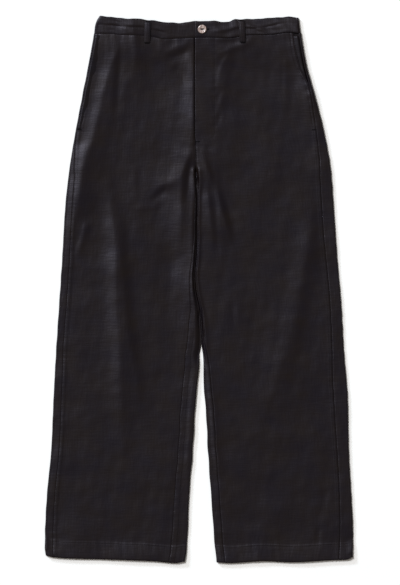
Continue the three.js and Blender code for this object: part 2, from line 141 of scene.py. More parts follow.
def table(kind: type, *rows: tuple[float, ...]) -> tuple:
    """Turns rows of numbers into rows of one kind."""
    return tuple(kind(*row) for row in rows)


# Distances from the middle to the outer folds.
OUTLINE = table(
    EdgeRow,
    (0.000, 0.1935, 0.1930), (0.008, 0.1990, 0.1952), (0.020, 0.2030, 0.1968),
    (0.035, 0.2047, 0.1990), (0.094, 0.2152, 0.2091), (0.164, 0.2290, 0.2284),
    (0.234, 0.2423, 0.2458), (0.304, 0.2536, 0.2579), (0.374, 0.2612, 0.2633),
    (0.468, 0.2667, 0.2698), (0.562, 0.2729, 0.2778), (0.655, 0.2790, 0.2832),
    (0.749, 0.2840, 0.2906), (0.842, 0.2881, 0.2924), (0.936, 0.2969, 0.2975),
    (1.006, 0.3004, 0.3008), (1.044, 0.3008, 0.3008), (1.066, 0.2986, 0.3004),
)

# The inner edges, as x.
INNER = table(
    EdgeRow,
    (0.000, -0.0079, -0.0075), (0.232, -0.0079, -0.0075), (0.304, -0.0052, -0.0048),
    (0.329, -0.0037, -0.0028), (0.405, -0.0042, -0.0034), (0.453, -0.0042, -0.0034),
    (0.499, -0.0076, -0.0068), (0.530, -0.0062, -0.0054), (0.579, 0.0024, 0.0032),
    (0.628, 0.0046, 0.0056), (0.645, 0.0040, 0.0062), (0.662, 0.0010, 0.0080),
    (0.684, 0.0004, 0.0086), (0.725, -0.0036, 0.0095), (0.772, -0.0077, 0.0137),
    (0.842, -0.0116, 0.0171), (0.936, -0.0190, 0.0237), (1.030, -0.0231, 0.0307),
    (1.066, -0.0280, 0.0346),
)

SEAMS = table(
    SeamRow,
    (0.035, 0.003, 0.005, 0.0, 0.0100, 0.0, 0.0),
    (0.060, 0.003, 0.005, 0.0, 0.0110, 0.0, 0.0),
    (0.100, 0.003, 0.005, 0.0, 0.0090, 0.0, 0.0),
    (0.140, 0.003, 0.006, 0.0, 0.0005, 0.0, 0.0),
    (0.218, 0.003, 0.014, 0.0, 0.0, 0.0, 0.0),
    (0.304, 0.010, 0.021, 0.0, 0.0, 0.0, 0.0),
    (0.314, 0.012, 0.022, 0.0, 0.0, 0.0027, 0.0027),
    (0.400, 0.014, 0.023, 0.0, 0.0, 0.0045, 0.0034),
    (0.530, 0.015, 0.021, 0.0, 0.0, 0.0120, 0.0040),
    (0.640, 0.014, 0.022, 0.0, 0.0, 0.0270, 0.0080),
    (0.730, 0.016, 0.027, 0.0, 0.0, 0.0280, 0.0155),
    (0.880, 0.016, 0.022, 0.0, 0.0, 0.0280, 0.0165),
    (1.066, 0.016, 0.027, 0.0, 0.0, 0.0310, 0.0170),
)

WAIST = table(
    WaistRow,
    (-0.205, 0.0010, 0.0350), (-0.193, 0.0000, 0.0350), (-0.173, 0.0020, 0.0350), (-0.146, 0.0050, 0.0375),
    (-0.117, 0.0060, 0.0380), (-0.088, 0.0095, 0.0410), (-0.063, 0.0125, 0.0450), (-0.040, 0.0140, 0.0440),
    (-0.008, 0.0105, 0.0425), (0.025, 0.0100, 0.0420), (0.057, 0.0120, 0.0428), (0.072, 0.0065, 0.0410),
    (0.096, 0.0065, 0.0370), (0.140, 0.0040, 0.0360), (0.175, 0.0020, 0.0320), (0.200, 0.0040, 0.0340),
)

HEMLINE = table(
    HemRow,
    (-0.300, 1.0510), (-0.286, 1.0550), (-0.255, 1.0575), (-0.200, 1.0590), (-0.138, 1.0610),
    (-0.090, 1.0630), (-0.045, 1.0666), (-0.028, 1.0640), (0.034, 1.0650), (0.060, 1.0666),
    (0.127, 1.0630), (0.180, 1.0650), (0.260, 1.0610), (0.288, 1.0600), (0.300, 1.0550),
)


def ease(value: Array, low: float, high: float) -> Array:
    """Rises smoothly from 0 at low to 1 at high."""
    t = np.clip((np.asarray(value, float) - low) / (high - low), 0, 1)
    return t * t * (3 - 2 * t)


def stretch(value: Array, start: float, full: float, fade: float, end: float) -> Array:
    """Rises from 0 at start to 1 at full, and falls back from fade to 0 at end."""
    return ease(value, start, full) * (1 - ease(value, fade, end))


def bump(value: Array, centre: float, width: float) -> Array:
    """Soft bump of height 1 round a centre."""
    return np.exp(-(((np.asarray(value, float) - centre) / width) ** 2))


class Reading:
    """Reads one column of a table on a smooth curve that never overshoots its rows."""

    def __init__(self, rows: tuple, column: str, by: str = "down") -> None:
        """Works out the slope of the curve at each row.

        Args:
            rows: The table, ordered by the column named by.
            column: The column to read.
            by: The column that gives the places.
        """
        self.places = np.array([getattr(row, by) for row in rows])
        self.values = np.array([getattr(row, column) for row in rows])
        rises = np.diff(self.values) / np.diff(self.places)
        before = np.concatenate((rises[:1], rises))
        after = np.concatenate((rises, rises[-1:]))
        same_way = before * after > 0
        total = np.where(same_way, before + after, 1)
        self.slopes = np.where(same_way, 2 * before * after / total, 0)

    def __call__(self, at: Array) -> Array:
        """Returns the column's values at the places asked for.

        Args:
            at: The places to read.

        Returns:
            The column's values there.
        """
        at = np.clip(np.asarray(at, float), self.places[0], self.places[-1])
        row = np.clip(np.searchsorted(self.places, at) - 1, 0, len(self.places) - 2)
        span = self.places[row + 1] - self.places[row]
        t = (at - self.places[row]) / span
        start = self.values[row] * (1 + 2 * t) * (1 - t) ** 2
        end = self.values[row + 1] * t**2 * (3 - 2 * t)
        lean = self.slopes[row] * t * (1 - t) ** 2 - self.slopes[row + 1] * t**2 * (1 - t)
        return start + end + span * lean


def ripple(at: Array, period: float, seed: int) -> Array:
    """Uneven wave of about unit height, made of four waves of close periods.

    Args:
        at: Distances along the wave.
        period: Middle one of the periods.
        seed: Seed of the periods and phases.

    Returns:
        The wave's height at each distance.
    """
    random = np.random.default_rng(seed)
    total = np.zeros_like(np.asarray(at, float))
    for _ in range(4):
        own = period * random.uniform(0.62, 1.65)
        total += np.sin(2 * math.pi * at / own + random.uniform(0, 2 * math.pi))
    return total / 2.2


def undulation(x: Array, down: Array, size: float, seed: int, waves: int = 40) -> Array:
    """Soft uneven swell of about unit height, made of waves in all directions.

    Args:
        x: Places across.
        down: Places down.
        size: Middle length of the waves.
        seed: Seed of their lengths, directions and phases.
        waves: How many waves are added up.

    Returns:
        The swell's height at each place.
    """
    random = np.random.default_rng(seed)
    total = np.zeros_like(x * 1.0 + down * 1.0)
    for _ in range(waves):
        angle = random.uniform(0, math.pi)
        own = size * random.uniform(0.6, 1.9)
        along = x * math.cos(angle) + down * math.sin(angle)
        total += np.sin(2 * math.pi * along / own + random.uniform(0, 2 * math.pi))
    return total / math.sqrt(waves / 2)


@dataclass(frozen=True)
class Wave:
    """Uneven wave along a seam or an edge, with its rise, its middle period and its seed."""

    rise: float
    period: float
    seed: int

    def along(self, at: Array, shift: int = 0) -> Array:
        """Height at each distance. A shift gives another wave of the same kind."""
        return self.rise * ripple(at, self.period, self.seed + shift)


@dataclass(frozen=True)
class Dent:
    """Narrow dent that a row of stitches or a pressed edge leaves, with its depth and its width."""

    depth: float
    width: float

    def at(self, off: Array) -> Array:
        """Depth at each distance from the middle of the dent."""
        return self.depth * bump(off, 0, self.width)


@dataclass(frozen=True)
class Swell:
    """Soft uneven swell of the cloth, with the middle length of its waves, its rise and its seed."""

    size: float
    rise: float
    seed: int


@dataclass(frozen=True)
class Fold:
    """Crease in the cloth: a ridge, or a trough where rise is negative, along a curved path.

    The paths run down the garment, so left is the side that faces the light. The cloth falls away
    from the crest within the left width on one side and within the right width on the other.
    """

    name: str
    left: float
    right: float
    rise: float
    soft: float
    path: tuple[tuple[float, float], ...]
    grow: float = 0.2
    only: Side | None = None
    foot: float = 4.0
    ridge_fade: float = 0.6
    trough_fade: float = 0.3

    def curve(self, steps: int = 6) -> Array:
        """Points of a smooth curve through the path.

        Args:
            steps: Points on each stretch of the path.

        Returns:
            The points as x and down.
        """
        rows = np.array(self.path)
        rows = np.concatenate((2 * rows[:1] - rows[1:2], rows, 2 * rows[-1:] - rows[-2:-1]))
        t = np.arange(steps)[:, None] / steps
        parts = []
        for a, b, c, d in zip(rows, rows[1:], rows[2:], rows[3:]):
            bend = (2 * a - 5 * b + 4 * c - d) * t**2 + (3 * b - a - 3 * c + d) * t**3
            parts.append(b + (c - a) * t / 2 + bend / 2)
        return np.concatenate((*parts, rows[-2:-1]))

    def height(self, x: Array, down: Array) -> Array:
        """Height that the fold adds at each place on the face.

        Args:
            x: Places across.
            down: Places down.

        Returns:
            The height at each place.
        """
        points = self.curve()
        lengths = np.linalg.norm(np.diff(points, axis=0), axis=1)
        starts = np.concatenate(([0], np.cumsum(lengths)))
        nearest = np.full(x.shape, 1e9)
        off = np.zeros(x.shape)
        along = np.zeros(x.shape)
        for point, after, length, start in zip(points, points[1:], lengths, starts):
            way = (after - point) / length
            dx, dd = x - point[0], down - point[1]
            t = np.clip(dx * way[0] + dd * way[1], 0, length)
            away = np.hypot(dx - t * way[0], dd - t * way[1])
            closer = away < nearest
            nearest = np.where(closer, away, nearest)
            side = np.where(dx * way[1] - dd * way[0] < 0, -1, 1)
            off = np.where(closer, side * away, off)
            along = np.where(closer, (start + t) / starts[-1], along)
        width = np.where(off < 0, self.left, self.right)
        fall = (np.hypot(off, self.soft) - self.soft) / width
        reach = np.log1p(np.exp(self.foot * (1 - fall))) / math.log1p(math.exp(self.foot))
        fade_from = self.ridge_fade if self.rise > 0 else self.trough_fade
        return self.rise * reach * ease(along, 0, self.grow) * (1 - ease(along, fade_from, 1))


def fold(name: str, left: float, right: float, rise: float, soft: float, *path: tuple[float, float],
         grow: float = 0.2, only: Side | None = None) -> Fold:
    """Makes a fold from millimetres. It grows over the first share of its path, on one side if given."""
    points = tuple((x * MM, down * MM) for x, down in path)
    return Fold(name, left * MM, right * MM, rise * MM, soft * MM, points, grow, only)


SWELLS = (
    Swell(0.085, 0.24 * MM, 91),
    Swell(0.040, 0.10 * MM, 92),
    Swell(0.015, 0.03 * MM, 93),
)

OUTER_FOLD_WAVE = Wave(0.22 * MM, 0.031, 11)
INNER_FOLD_WAVE = Wave(0.35 * MM, 0.045, 21)
SIDE_SEAM_PUCKER = Wave(0.055 * MM, 0.0135, 31)
INSEAM_PUCKER = Wave(0.060 * MM, 0.0125, 41)
POCKET_PUCKER = Wave(0.14 * MM, 0.016, 51)
MIDDLE_SEAM_PUCKER = Wave(0.12 * MM, 0.012, 61)
FLY_PUCKER = Wave(0.12 * MM, 0.014, 63)
HEM_PUCKER = Wave(0.07 * MM, 0.017, 71)
WAIST_GATHER = Wave(0.16 * MM, 0.019, 81)
BAND_GATHER = Wave(0.17 * MM, 0.027, 101)
BAND_DRAG = Wave(0.35 * MM, 0.0125, 105)
BAND_CREASE_SHARE = Wave(0.35, 0.041, 107)
BAND_TOP_WAVE = Wave(0.50 * MM, 0.026, 111)
FACING_WAVE = Wave(0.10 * MM, 0.020, 121)

FELL_SEAM = Dent(0.34 * MM, 0.9 * MM)
FELL_NEAR_ROW = Dent(0.10 * MM, 0.7 * MM)
FELL_FAR_ROW = Dent(0.11 * MM, 0.8 * MM)
POCKET_EDGE = Dent(0.50 * MM, 0.9 * MM)
POCKET_ROW = Dent(0.30 * MM, 0.9 * MM)
FLY_EDGE = {Side.RIGHT: Dent(2.1 * MM, 1.5 * MM), Side.LEFT: Dent(0.5 * MM, 0.8 * MM)}
FLY_ROW = Dent(0.22 * MM, 1.0 * MM)
MIDDLE_SEAM_ROW = Dent(0.22 * MM, 0.8 * MM)
HEM_EDGE = Dent(0.70 * MM, 1.1 * MM)
HEM_ROW = Dent(0.18 * MM, 0.9 * MM)
WAIST_SEAM = Dent(0.55 * MM, 1.0 * MM)
BAND_EDGE = Dent(0.70 * MM, 0.9 * MM)
BAND_ROW = Dent(0.22 * MM, 0.8 * MM)
LOOP_EDGE = Dent(0.35 * MM, 0.9 * MM)
LOOP_ROW = Dent(0.20 * MM, 0.6 * MM)

PILLOW_SHARE = {Side.RIGHT: 1.0, Side.LEFT: 0.15}

# Columns in millimetres: name, left width, right width, rise, softness, then the path as (x, down).
FOLDS = (
    fold("hip ridge", 15, 46, 2.6, 2.5, (-136, -16), (-140, 12), (-146, 39), (-155, 66), (-169, 94),
         (-179, 127), (-188, 164), (-197, 203), (-207, 242), (-217, 269), (-226, 304), (-231, 339),
         (-236, 370), (-242, 408), (-250, 456), (-257, 525), grow=0.09),
    fold("hip edge plane", 16, 40, 1.7, 2.5, (-220, 218), (-225, 257), (-230, 296), (-234, 332),
         (-238, 365), (-244, 402), (-251, 445)),
    fold("pleat valley", 7, 12, -1.3, 2, (-144, 20), (-151, 51), (-156, 105), (-160, 183), (-162, 261),
         grow=0.12),
    fold("waist pleat", 9, 34, 1.5, 2, (-134, -16), (-129, 16), (-125, 47), (-123, 78), (-127, 109),
         (-136, 144)),
    fold("pleat swell", 16, 20, 0.7, 4, (-95, 43), (-88, 66), (-86, 98)),
    fold("first waist streak", 5, 6, 0.6, 1.5, (-179, 27), (-177, 55), (-177, 90)),
    fold("second waist streak", 5, 6, 0.5, 1.5, (-168, 27), (-168, 51), (-166, 78)),
    fold("yoke crest", 6, 12, 0.7, 2, (-74, 39), (-74, 57), (-76, 78)),
    fold("yoke wrinkle", 8, 9, 1.0, 2, (-17, 53), (-45, 62), (-76, 76)),
    fold("yoke trough", 6, 12, -1.1, 2, (-19, 68), (-45, 78), (-72, 90)),
    fold("hook trough", 7, 14, -1.0, 3, (-55, 98), (-35, 111), (-29, 133), (-37, 160)),
    fold("fly swell", 20, 60, 2.4, 2, (-12, 58), (-12, 115), (-12, 164), (-12, 222), (-15, 265),
         (-23, 292), only=Side.RIGHT),
    fold("fly plane", 46, 60, 2.2, 3, (-12, 62), (-12, 125), (-13, 183), (-14, 232), (-17, 265),
         (-25, 291), (-37, 314), grow=0.6, only=Side.RIGHT),
    fold("crotch ridge", 30, 12, 1.3, 2, (-14, 230), (-17, 265), (-25, 291), (-37, 314), (-56, 324),
         (-80, 335), (-101, 355), (-115, 370), grow=0.4, only=Side.RIGHT),
    fold("crotch wedge face", 50, 13, 2.0, 1.2, (-14, 254), (-21, 281), (-29, 300), (-34, 324),
         (-34, 347), (-33, 367), only=Side.RIGHT),
    fold("second thigh plane", 28, 16, 2.5, 3, (-39, 304), (-35, 343), (-35, 378), (-39, 427),
         (-45, 480), grow=0.3, only=Side.RIGHT),
    fold("thigh wedge", 5, 7, -1.6, 1.2, (-16, 273), (-20, 304), (-23, 335), (-27, 367), (-29, 386),
         only=Side.RIGHT),
    fold("inner thigh ridge", 9, 3, 0.5, 1.2, (-6, 261), (-10, 312), (-12, 369), (-13, 417), (-14, 466),
         only=Side.RIGHT),
    fold("inner sheen", 31, 4, 4.2, 3, (-10, 316), (-13, 359), (-13, 427), (-13, 495), (-10, 548),
         (-4, 581), (-3, 632), (-2, 694), grow=0.3, only=Side.RIGHT),
    fold("inner thigh valley", 22, 30, -1.3, 4, (-53, 402), (-55, 456), (-56, 525), (-55, 593),
         (-49, 651), only=Side.RIGHT),
    fold("right inseam ridge", 13, 3, 2.0, 1.5, (0, 616), (-3, 686), (-9, 749), (-13, 807), (-17, 866),
         (-20, 924), (-24, 987), only=Side.RIGHT),
    fold("right leg ridge", 17, 56, 2.7, 2.5, (-179, 312), (-171, 369), (-164, 413), (-162, 456),
         (-161, 505), (-160, 564), (-157, 622), (-153, 686), (-150, 759), (-148, 807)),
    fold("right leg shade", 46, 14, 1.6, 2, (-162, 339), (-157, 417), (-151, 495), (-143, 573),
         (-133, 651), (-121, 720), (-111, 772), (-101, 827), grow=0.35),
    fold("right leg valley", 14, 20, -0.7, 8, (-162, 261), (-156, 339), (-144, 398), (-136, 456),
         (-133, 525), (-125, 612), (-109, 690), (-94, 776)),
    fold("thigh band", 10, 6, 0.5, 3, (-127, 285), (-125, 330), (-125, 374)),
    fold("thigh band end", 5, 4, 0.35, 2, (-72, 372), (-105, 374), (-136, 378)),
    fold("crotch wrinkle trough", 5, 9, -0.9, 1.5, (-62, 335), (-84, 353), (-101, 367)),
    fold("crotch hollow", 6, 12, -0.5, 3, (-76, 363), (-82, 388), (-88, 417)),
    fold("outer streak", 5, 10, 1.0, 1.5, (-218, 396), (-228, 437), (-240, 478)),
    fold("lower right band", 16, 14, 0.8, 4, (-156, 642), (-152, 710), (-150, 807), (-154, 878)),
    fold("band shine", 9, 4, 1.5, 1.5, (98, 11), (78, 19), (59, 25), (35, 30), (12, 33)),
    fold("band shadow", 4, 5, -0.9, 1.5, (178, 27), (123, 30), (86, 32), (62, 35)),
    fold("waist ridge", 4, 9, 0.8, 1.5, (107, 41), (90, 53), (72, 60), (53, 68), (25, 80),
         only=Side.LEFT),
    fold("waist trough", 4, 4, -0.7, 1.5, (82, 49), (45, 53), (8, 58), only=Side.LEFT),
    fold("fly wrinkle", 4, 18, 0.7, 1.5, (62, 72), (45, 96), (39, 125), (39, 150), only=Side.LEFT),
    fold("lower fly wrinkle", 4, 12, 0.6, 1.5, (51, 146), (43, 164), (41, 187), only=Side.LEFT),
    fold("fly hollow", 5, 4, -0.7, 1.5, (41, 189), (39, 203), (37, 218), only=Side.LEFT),
    fold("first pocket streak", 4, 5, 0.25, 1.5, (156, 78), (158, 135), (160, 191)),
    fold("second pocket streak", 5, 8, 0.45, 1.5, (170, 74), (168, 125), (168, 183)),
    fold("pocket ridge", 17, 40, 1.6, 1.5, (181, 27), (191, 62), (199, 90), (207, 115), (215, 140),
         (220, 174), (226, 226)),
    fold("pocket hollow", 9, 9, -0.25, 3, (139, 66), (139, 115), (137, 164)),
    fold("left hip sheen", 44, 50, 1.6, 4, (181, 23), (195, 82), (209, 133), (224, 187), (232, 232),
         (234, 281), (234, 339), (228, 402), grow=0.35),
    fold("left hip plane", 30, 26, 0.4, 3, (146, 242), (152, 291), (152, 355), grow=0.5),
    fold("left leg ridge", 26, 25, 1.9, 6, (220, 343), (218, 413), (211, 460), (201, 511), (193, 554),
         (185, 603), (174, 642), (158, 690), (142, 733), (123, 788), (101, 838), (86, 881)),
    fold("left leg valley", 12, 18, -0.8, 8, (242, 332), (240, 398), (234, 456), (226, 505), (218, 564),
         (205, 632), (193, 690), (179, 760)),
    fold("left crotch crest", 36, 8, 2.3, 1.2, (2, 250), (11, 281), (19, 308), (27, 343), grow=0.55,
         only=Side.LEFT),
    fold("outer crotch crest", 50, 9, 2.8, 1.2, (25, 289), (37, 347), (47, 386), (56, 421), (62, 460),
         grow=0.45, only=Side.LEFT),
    fold("left crotch ridge", 5, 12, 0.35, 1.5, (22, 271), (39, 320), (57, 359), (74, 386), (100, 419)),
    fold("second crotch crest", 30, 8, 2.1, 1.2, (8, 289), (15, 335), (21, 378), (25, 421), (30, 480),
         grow=0.45, only=Side.LEFT),
    fold("left thigh line", 4, 10, 0.3, 1.5, (39, 335), (41, 408), (47, 503), only=Side.LEFT),
    fold("fly end crease", 3, 4, -0.3, 1.2, (12, 256), (22, 259), (33, 263), only=Side.LEFT),
    fold("fly end ridge", 3, 6, 0.3, 1.2, (-2, 263), (16, 265), (37, 271), only=Side.LEFT),
    fold("crotch point", 5, 3, 0.9, 1.0, (-7, 257), (-6, 273), (-5, 294), only=Side.RIGHT),
    fold("left inseam shade", 4, 14, 1.2, 2, (13, 644), (23, 749), (32, 846), (45, 952)),
    fold("left knee hollow", 7, 4, -0.6, 2, (66, 554), (68, 593), (68, 644)),
    fold("left hem hollow", 7, 7, -0.5, 3, (250, 916), (244, 954), (236, 991)),
    fold("left hem streak", 4, 4, -0.7, 1.5, (234, 994), (232, 1022), (230, 1045)),
)


class Relief:
    """Height that the folds and the soft swell of the cloth add, kept on a fine grid."""

    def __init__(self, side: Side, step: float = 0.0015,
                 reach: tuple[float, float] = (0.315, 1.085)) -> None:
        """Adds up every fold on the grid.

        Args:
            side: The side of the garment that the grid is for.
            step: Distance between grid points.
            reach: Furthest place across and down that is asked for.
        """
        self.step = step
        self.start = (-reach[0], -0.012)
        x = np.arange(self.start[0], reach[0], step)
        down = np.arange(self.start[1], reach[1], step)
        x, down = np.meshgrid(x, down)
        self.map = sum(each.rise * undulation(x, down, each.size, each.seed) for each in SWELLS)
        for each in FOLDS:
            if each.only not in (None, side):
                continue
            points = each.curve()
            margin = 2.8 * max(each.left, each.right) + each.soft
            low, high = points.min(axis=0) - margin, points.max(axis=0) + margin
            columns = slice(*np.searchsorted(x[0], (low[0], high[0])))
            rows = slice(*np.searchsorted(down[:, 0], (low[1], high[1])))
            self.map[rows, columns] += each.height(x[rows, columns], down[rows, columns])
        for _ in range(2):
            self.map = self._soften(self._soften(self.map).T).T

    @staticmethod
    def _soften(rows: Array) -> Array:
        """Averages each row with its neighbours, one to two to one."""
        padded = np.pad(rows, ((1, 1), (0, 0)), "edge")
        return (padded[:-2] + 2 * rows + padded[2:]) / 4

    def __call__(self, x: Array, down: Array) -> Array:
        """Reads the grid between its points."""
        across = np.clip((x - self.start[0]) / self.step, 0, self.map.shape[1] - 1.001)
        level = np.clip((down - self.start[1]) / self.step, 0, self.map.shape[0] - 1.001)
        column, row = across.astype(int), level.astype(int)
        s, t = across - column, level - row
        upper = self.map[row, column] * (1 - s) + self.map[row, column + 1] * s
        lower = self.map[row + 1, column] * (1 - s) + self.map[row + 1, column + 1] * s
        return upper * (1 - t) + lower * t


@dataclass
class Form:
    """The whole garment's shape: its outline, its seams and the height of its face cloth."""

    waist_seam: float = 0.038
    fly_end: float = 0.232
    pocket_end: float = 0.222
    crotch: float = 0.304
    hem: float = 1.062
    hem_depth: float = 0.033
    turn: float = 0.018
    cloth: float = 0.0009
    loft: float = 0.0036
    loop_lift: float = 0.0015
    loop_reach: float = 0.014
    lift_fade: float = 0.075
    fly_x: float = -0.0077
    lap_rise: float = 0.0011
    lap_flat: float = 0.042
    lap_ramp: float = 0.060
    lap_fade: float = 0.050
    lap_shade: float = 0.8
    fly_row: float = 0.0337
    fly_row_end: float = 0.004
    fly_curve: float = 0.017
    middle_row: float = 0.0022
    fell_rise: float = 0.0002
    fell_width: float = 0.007
    inseam_fell: float = 0.0105
    near_row: float = 0.0016
    far_row: float = 0.0006
    pucker_reach: float = 0.008
    pocket_row: float = 0.006
    hem_layer: float = 0.00035
    hem_swell: float = 0.0019
    hem_row: float = 0.0022
    gather_reach: float = 0.014
    waist_hold: float = 0.2
    waist_hold_reach: float = 0.007
    seam_gap: float = 0.00008
    edge_inset: float = 0.0003
    waist_reach: float = OUTLINE[0].right
    legs_part: tuple[float, float] = (0.634, 0.652)
    lowest: float = -0.0022
    pillow_rise: float = 0.0006
    pillow_width: float = 0.013
    inner_dip: float = 0.25
    crease: tuple[float, float, float, float] = (0.293, 0.303, 0.645, 0.690)
    hole: tuple[float, float, float, float] = (0.292, 0.300, 0.322, 0.350)
    slot: tuple[float, float] = (0.570, 0.592)
    slot_sharpness: float = 0.9
    valley_floor: float = 0.0006
    valley_width: float = 0.0028
    hole_width: float = 0.0044
    lip_rise: float = 0.0012
    top_y: float = field(init=False)

    def __post_init__(self) -> None:
        """Reads the waist's place from the frame and readies the tables."""
        self.top_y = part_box("waistband_right")[1][1]
        self._outer = {Side.RIGHT: Reading(OUTLINE, "right"), Side.LEFT: Reading(OUTLINE, "left")}
        self._inner = {Side.RIGHT: Reading(INNER, "right"), Side.LEFT: Reading(INNER, "left")}
        self._seam = {
            (name, side): Reading(SEAMS, f"{name}_{side.label}")
            for name in ("side", "mouth", "inseam")
            for side in Side
        }
        self.relief = {side: Relief(side) for side in Side}
        self.waist_top = Reading(WAIST, "top", "x")
        self.waist_line = Reading(WAIST, "seam", "x")
        self.hem_line = Reading(HEMLINE, "down", "x")

    def outer(self, side: Side, down: Array) -> Array:
        """Where the outer fold lies, a little wavy as stitched cloth is."""
        wave = OUTER_FOLD_WAVE.along(down, side.sign) * ease(down, 0.06, 0.16)
        return side.sign * (self._outer[side](down) - self.edge_inset + wave)

    def inner(self, side: Side, down: Array) -> Array:
        """Where the middle seam or the inner fold lies. The folds touch above the open part."""
        wave = INNER_FOLD_WAVE.along(down) * ease(down, 0.34, 0.42)
        own = self._inner[side](down)
        if side is Side.LEFT:
            touching = self._inner[Side.RIGHT](down) + self.seam_gap
            own = touching + (own - touching) * ease(down, *self.legs_part)
        return own + wave

    def seam(self, name: str, side: Side, down: Array) -> Array:
        """How far inboard of its fold a seam lies."""
        return np.maximum(self._seam[name, side](down), 0)

    def y(self, down: Array) -> Array:
        """Place along +Y of a distance down from the waist."""
        return self.top_y - down

    def waist_seam_at(self, side: Side, x: Array, under: bool) -> Array:
        """How far down the waist seam lies: a curve on the face, a straight line on the back."""
        if not under:
            return self.waist_line(x)
        edge = side.sign * self.waist_reach
        across = np.clip((edge - x) / (edge - self.fly_x), 0, 1)
        ends = self.waist_line(edge), self.waist_line(self.fly_x)
        return ends[0] + (ends[1] - ends[0]) * across

    def settle(self, side: Side, x: Array, level: Array, under: bool = False) -> Array:
        """Bends level rows to the waist seam and to the hem edge."""
        waist = self.waist_seam_at(side, x, under) - self.waist_seam + self.seam_gap
        hem = self.hem_line(x) - self.hem
        near_waist = 1 - np.clip((level - self.waist_seam) / self.crotch, 0, 1)
        near_hem = np.clip(1 - (self.hem - level) / (2 * self.hem_depth), 0, 1)
        return level + waist * near_waist + hem * near_hem

    def lift(self, down: Array) -> Array:
        """Distance that the back loops hold the waist off the surface."""
        start = self.waist_seam + self.loop_reach
        return self.loop_lift * (1 - ease(down, start, self.waist_seam + self.lift_fade))

    def back_height(self, down: Array) -> Array:
        """Height of the middle of the cloth that lies on the surface."""
        return self.cloth / 2 + self.lift(down)

    def lap(self, side: Side, x: Array, down: Array) -> Array:
        """Rise of the left front where it lies over the fly shield."""
        if side is Side.RIGHT:
            return np.zeros_like(x)
        start = self.fly_x + self.lap_flat
        across = 1 - ease(x, start, start + self.lap_ramp)
        low = self.fly_end + self.lap_fade
        return self.lap_rise * across * (1 - ease(down, low, low + self.lap_fade))

    def fell(self, from_seam: Array, width: float) -> Array:
        """Relief of a felled seam that runs from its edge, at 0, to its far stitch row."""
        strip = self.fell_rise * stretch(from_seam, 0, 1.0 * MM, width, width + 1.4 * MM)
        near = FELL_NEAR_ROW.at(from_seam - self.near_row)
        far = FELL_FAR_ROW.at(from_seam - width + self.far_row)
        return strip - near - far - FELL_SEAM.at(from_seam)

    def seam_relief(self, side: Side, x: Array, down: Array) -> Array:
        """Relief round the side seam and the inseam: edges, stitch rows and puckers.

        Args:
            side: The side.
            x: Places across.
            down: Places down.

        Returns:
            The relief at each place.
        """
        inboard = np.abs(self.outer(side, down) - x)
        from_side = inboard - self.seam("side", side, down)
        from_inner = np.abs(x - self.inner(side, down))
        from_inseam = self.seam("inseam", side, down) - from_inner
        below_pocket = ease(down, self.pocket_end - 0.02, self.pocket_end + 0.01)
        below_crotch = ease(down, self.crotch, self.crotch + self.turn)
        side_fell = self.fell(from_side, self.fell_width) * below_pocket
        inseam_fell = self.fell(from_inseam, self.inseam_fell) * below_crotch
        near_side = bump(from_side, 3 * MM, self.pucker_reach) * below_pocket
        near_inseam = bump(from_inseam, 4 * MM, self.pucker_reach) * below_crotch
        puckers = SIDE_SEAM_PUCKER.along(down, side.sign) * near_side
        puckers = puckers + INSEAM_PUCKER.along(down, side.sign) * near_inseam
        return side_fell + inseam_fell + puckers

    def pocket_relief(self, side: Side, x: Array, down: Array) -> Array:
        """Relief of the pocket mouth: a turned edge, its stitch row and small puckers."""
        inboard = np.abs(self.outer(side, down) - x)
        mouth = self.seam("side", side, down) + self.seam("mouth", side, down)
        from_mouth = inboard - mouth
        reach = 1 - ease(down, self.pocket_end - 0.02, self.pocket_end)
        dents = POCKET_ROW.at(from_mouth - self.pocket_row) + POCKET_EDGE.at(from_mouth)
        pucker = POCKET_PUCKER.along(down, side.sign) * bump(from_mouth, 3 * MM, 6 * MM)
        return (pucker - dents) * reach

    def fly_stitch_x(self, down: Array) -> Array:
        """Where the fly's stitch row lies at each level: straight, then curving in to the fly's end."""
        straight = self.fly_end - self.fly_row_end
        t = np.clip((down - straight) / self.fly_curve, 0, 1)
        return self.fly_x + self.fly_row_end + self.fly_row * np.sqrt(np.maximum(1 - t**2, 0))

    def fly_relief(self, side: Side, x: Array, down: Array) -> Array:
        """Relief of the fly: the lapped edge, its stitch row and the middle seam below it.

        Args:
            side: The side.
            x: Places across.
            down: Places down.

        Returns:
            The relief at each place.
        """
        from_edge = np.abs(x - self.inner(side, down))
        above = 1 - ease(down, self.crotch - 0.004, self.crotch + 0.006)
        below_fly = ease(down, self.fly_end, self.fly_end + 0.012)
        edge = FLY_EDGE[side].at(from_edge) * (1 - self.lap_shade * below_fly)
        seam_row = MIDDLE_SEAM_ROW.at(from_edge - self.middle_row) * below_fly
        pucker = MIDDLE_SEAM_PUCKER.along(down) * bump(from_edge, 0, 7 * MM) * below_fly
        relief = (pucker - edge - seam_row) * above
        if side is Side.LEFT:
            end = 1 - ease(down, self.fly_end + 0.011, self.fly_end + 0.015)
            from_row = x - self.fly_stitch_x(down)
            gather = FLY_PUCKER.along(down) * bump(from_row, 0, 7 * MM)
            relief = relief + (gather - FLY_ROW.at(from_row)) * end
        return relief

    def hem_relief(self, x: Array, down: Array) -> Array:
        """Relief of the turned-up hem: a second layer, its stitch row and puckers between."""
        above = self.hem_line(x) - down
        layer = self.hem_layer * (1 - ease(above, self.hem_depth - 1 * MM, self.hem_depth + 1 * MM))
        between_rows = stretch(above, 2 * MM, 12 * MM, self.hem_depth, self.hem_depth + 14 * MM)
        pucker = HEM_PUCKER.along(x + 0.15 * above) * between_rows
        swell = self.hem_swell * (1 - ease(above, 0, 1.25 * self.hem_depth))
        dents = HEM_ROW.at(above - self.hem_depth + self.hem_row) + HEM_EDGE.at(above)
        return layer + swell + pucker - dents

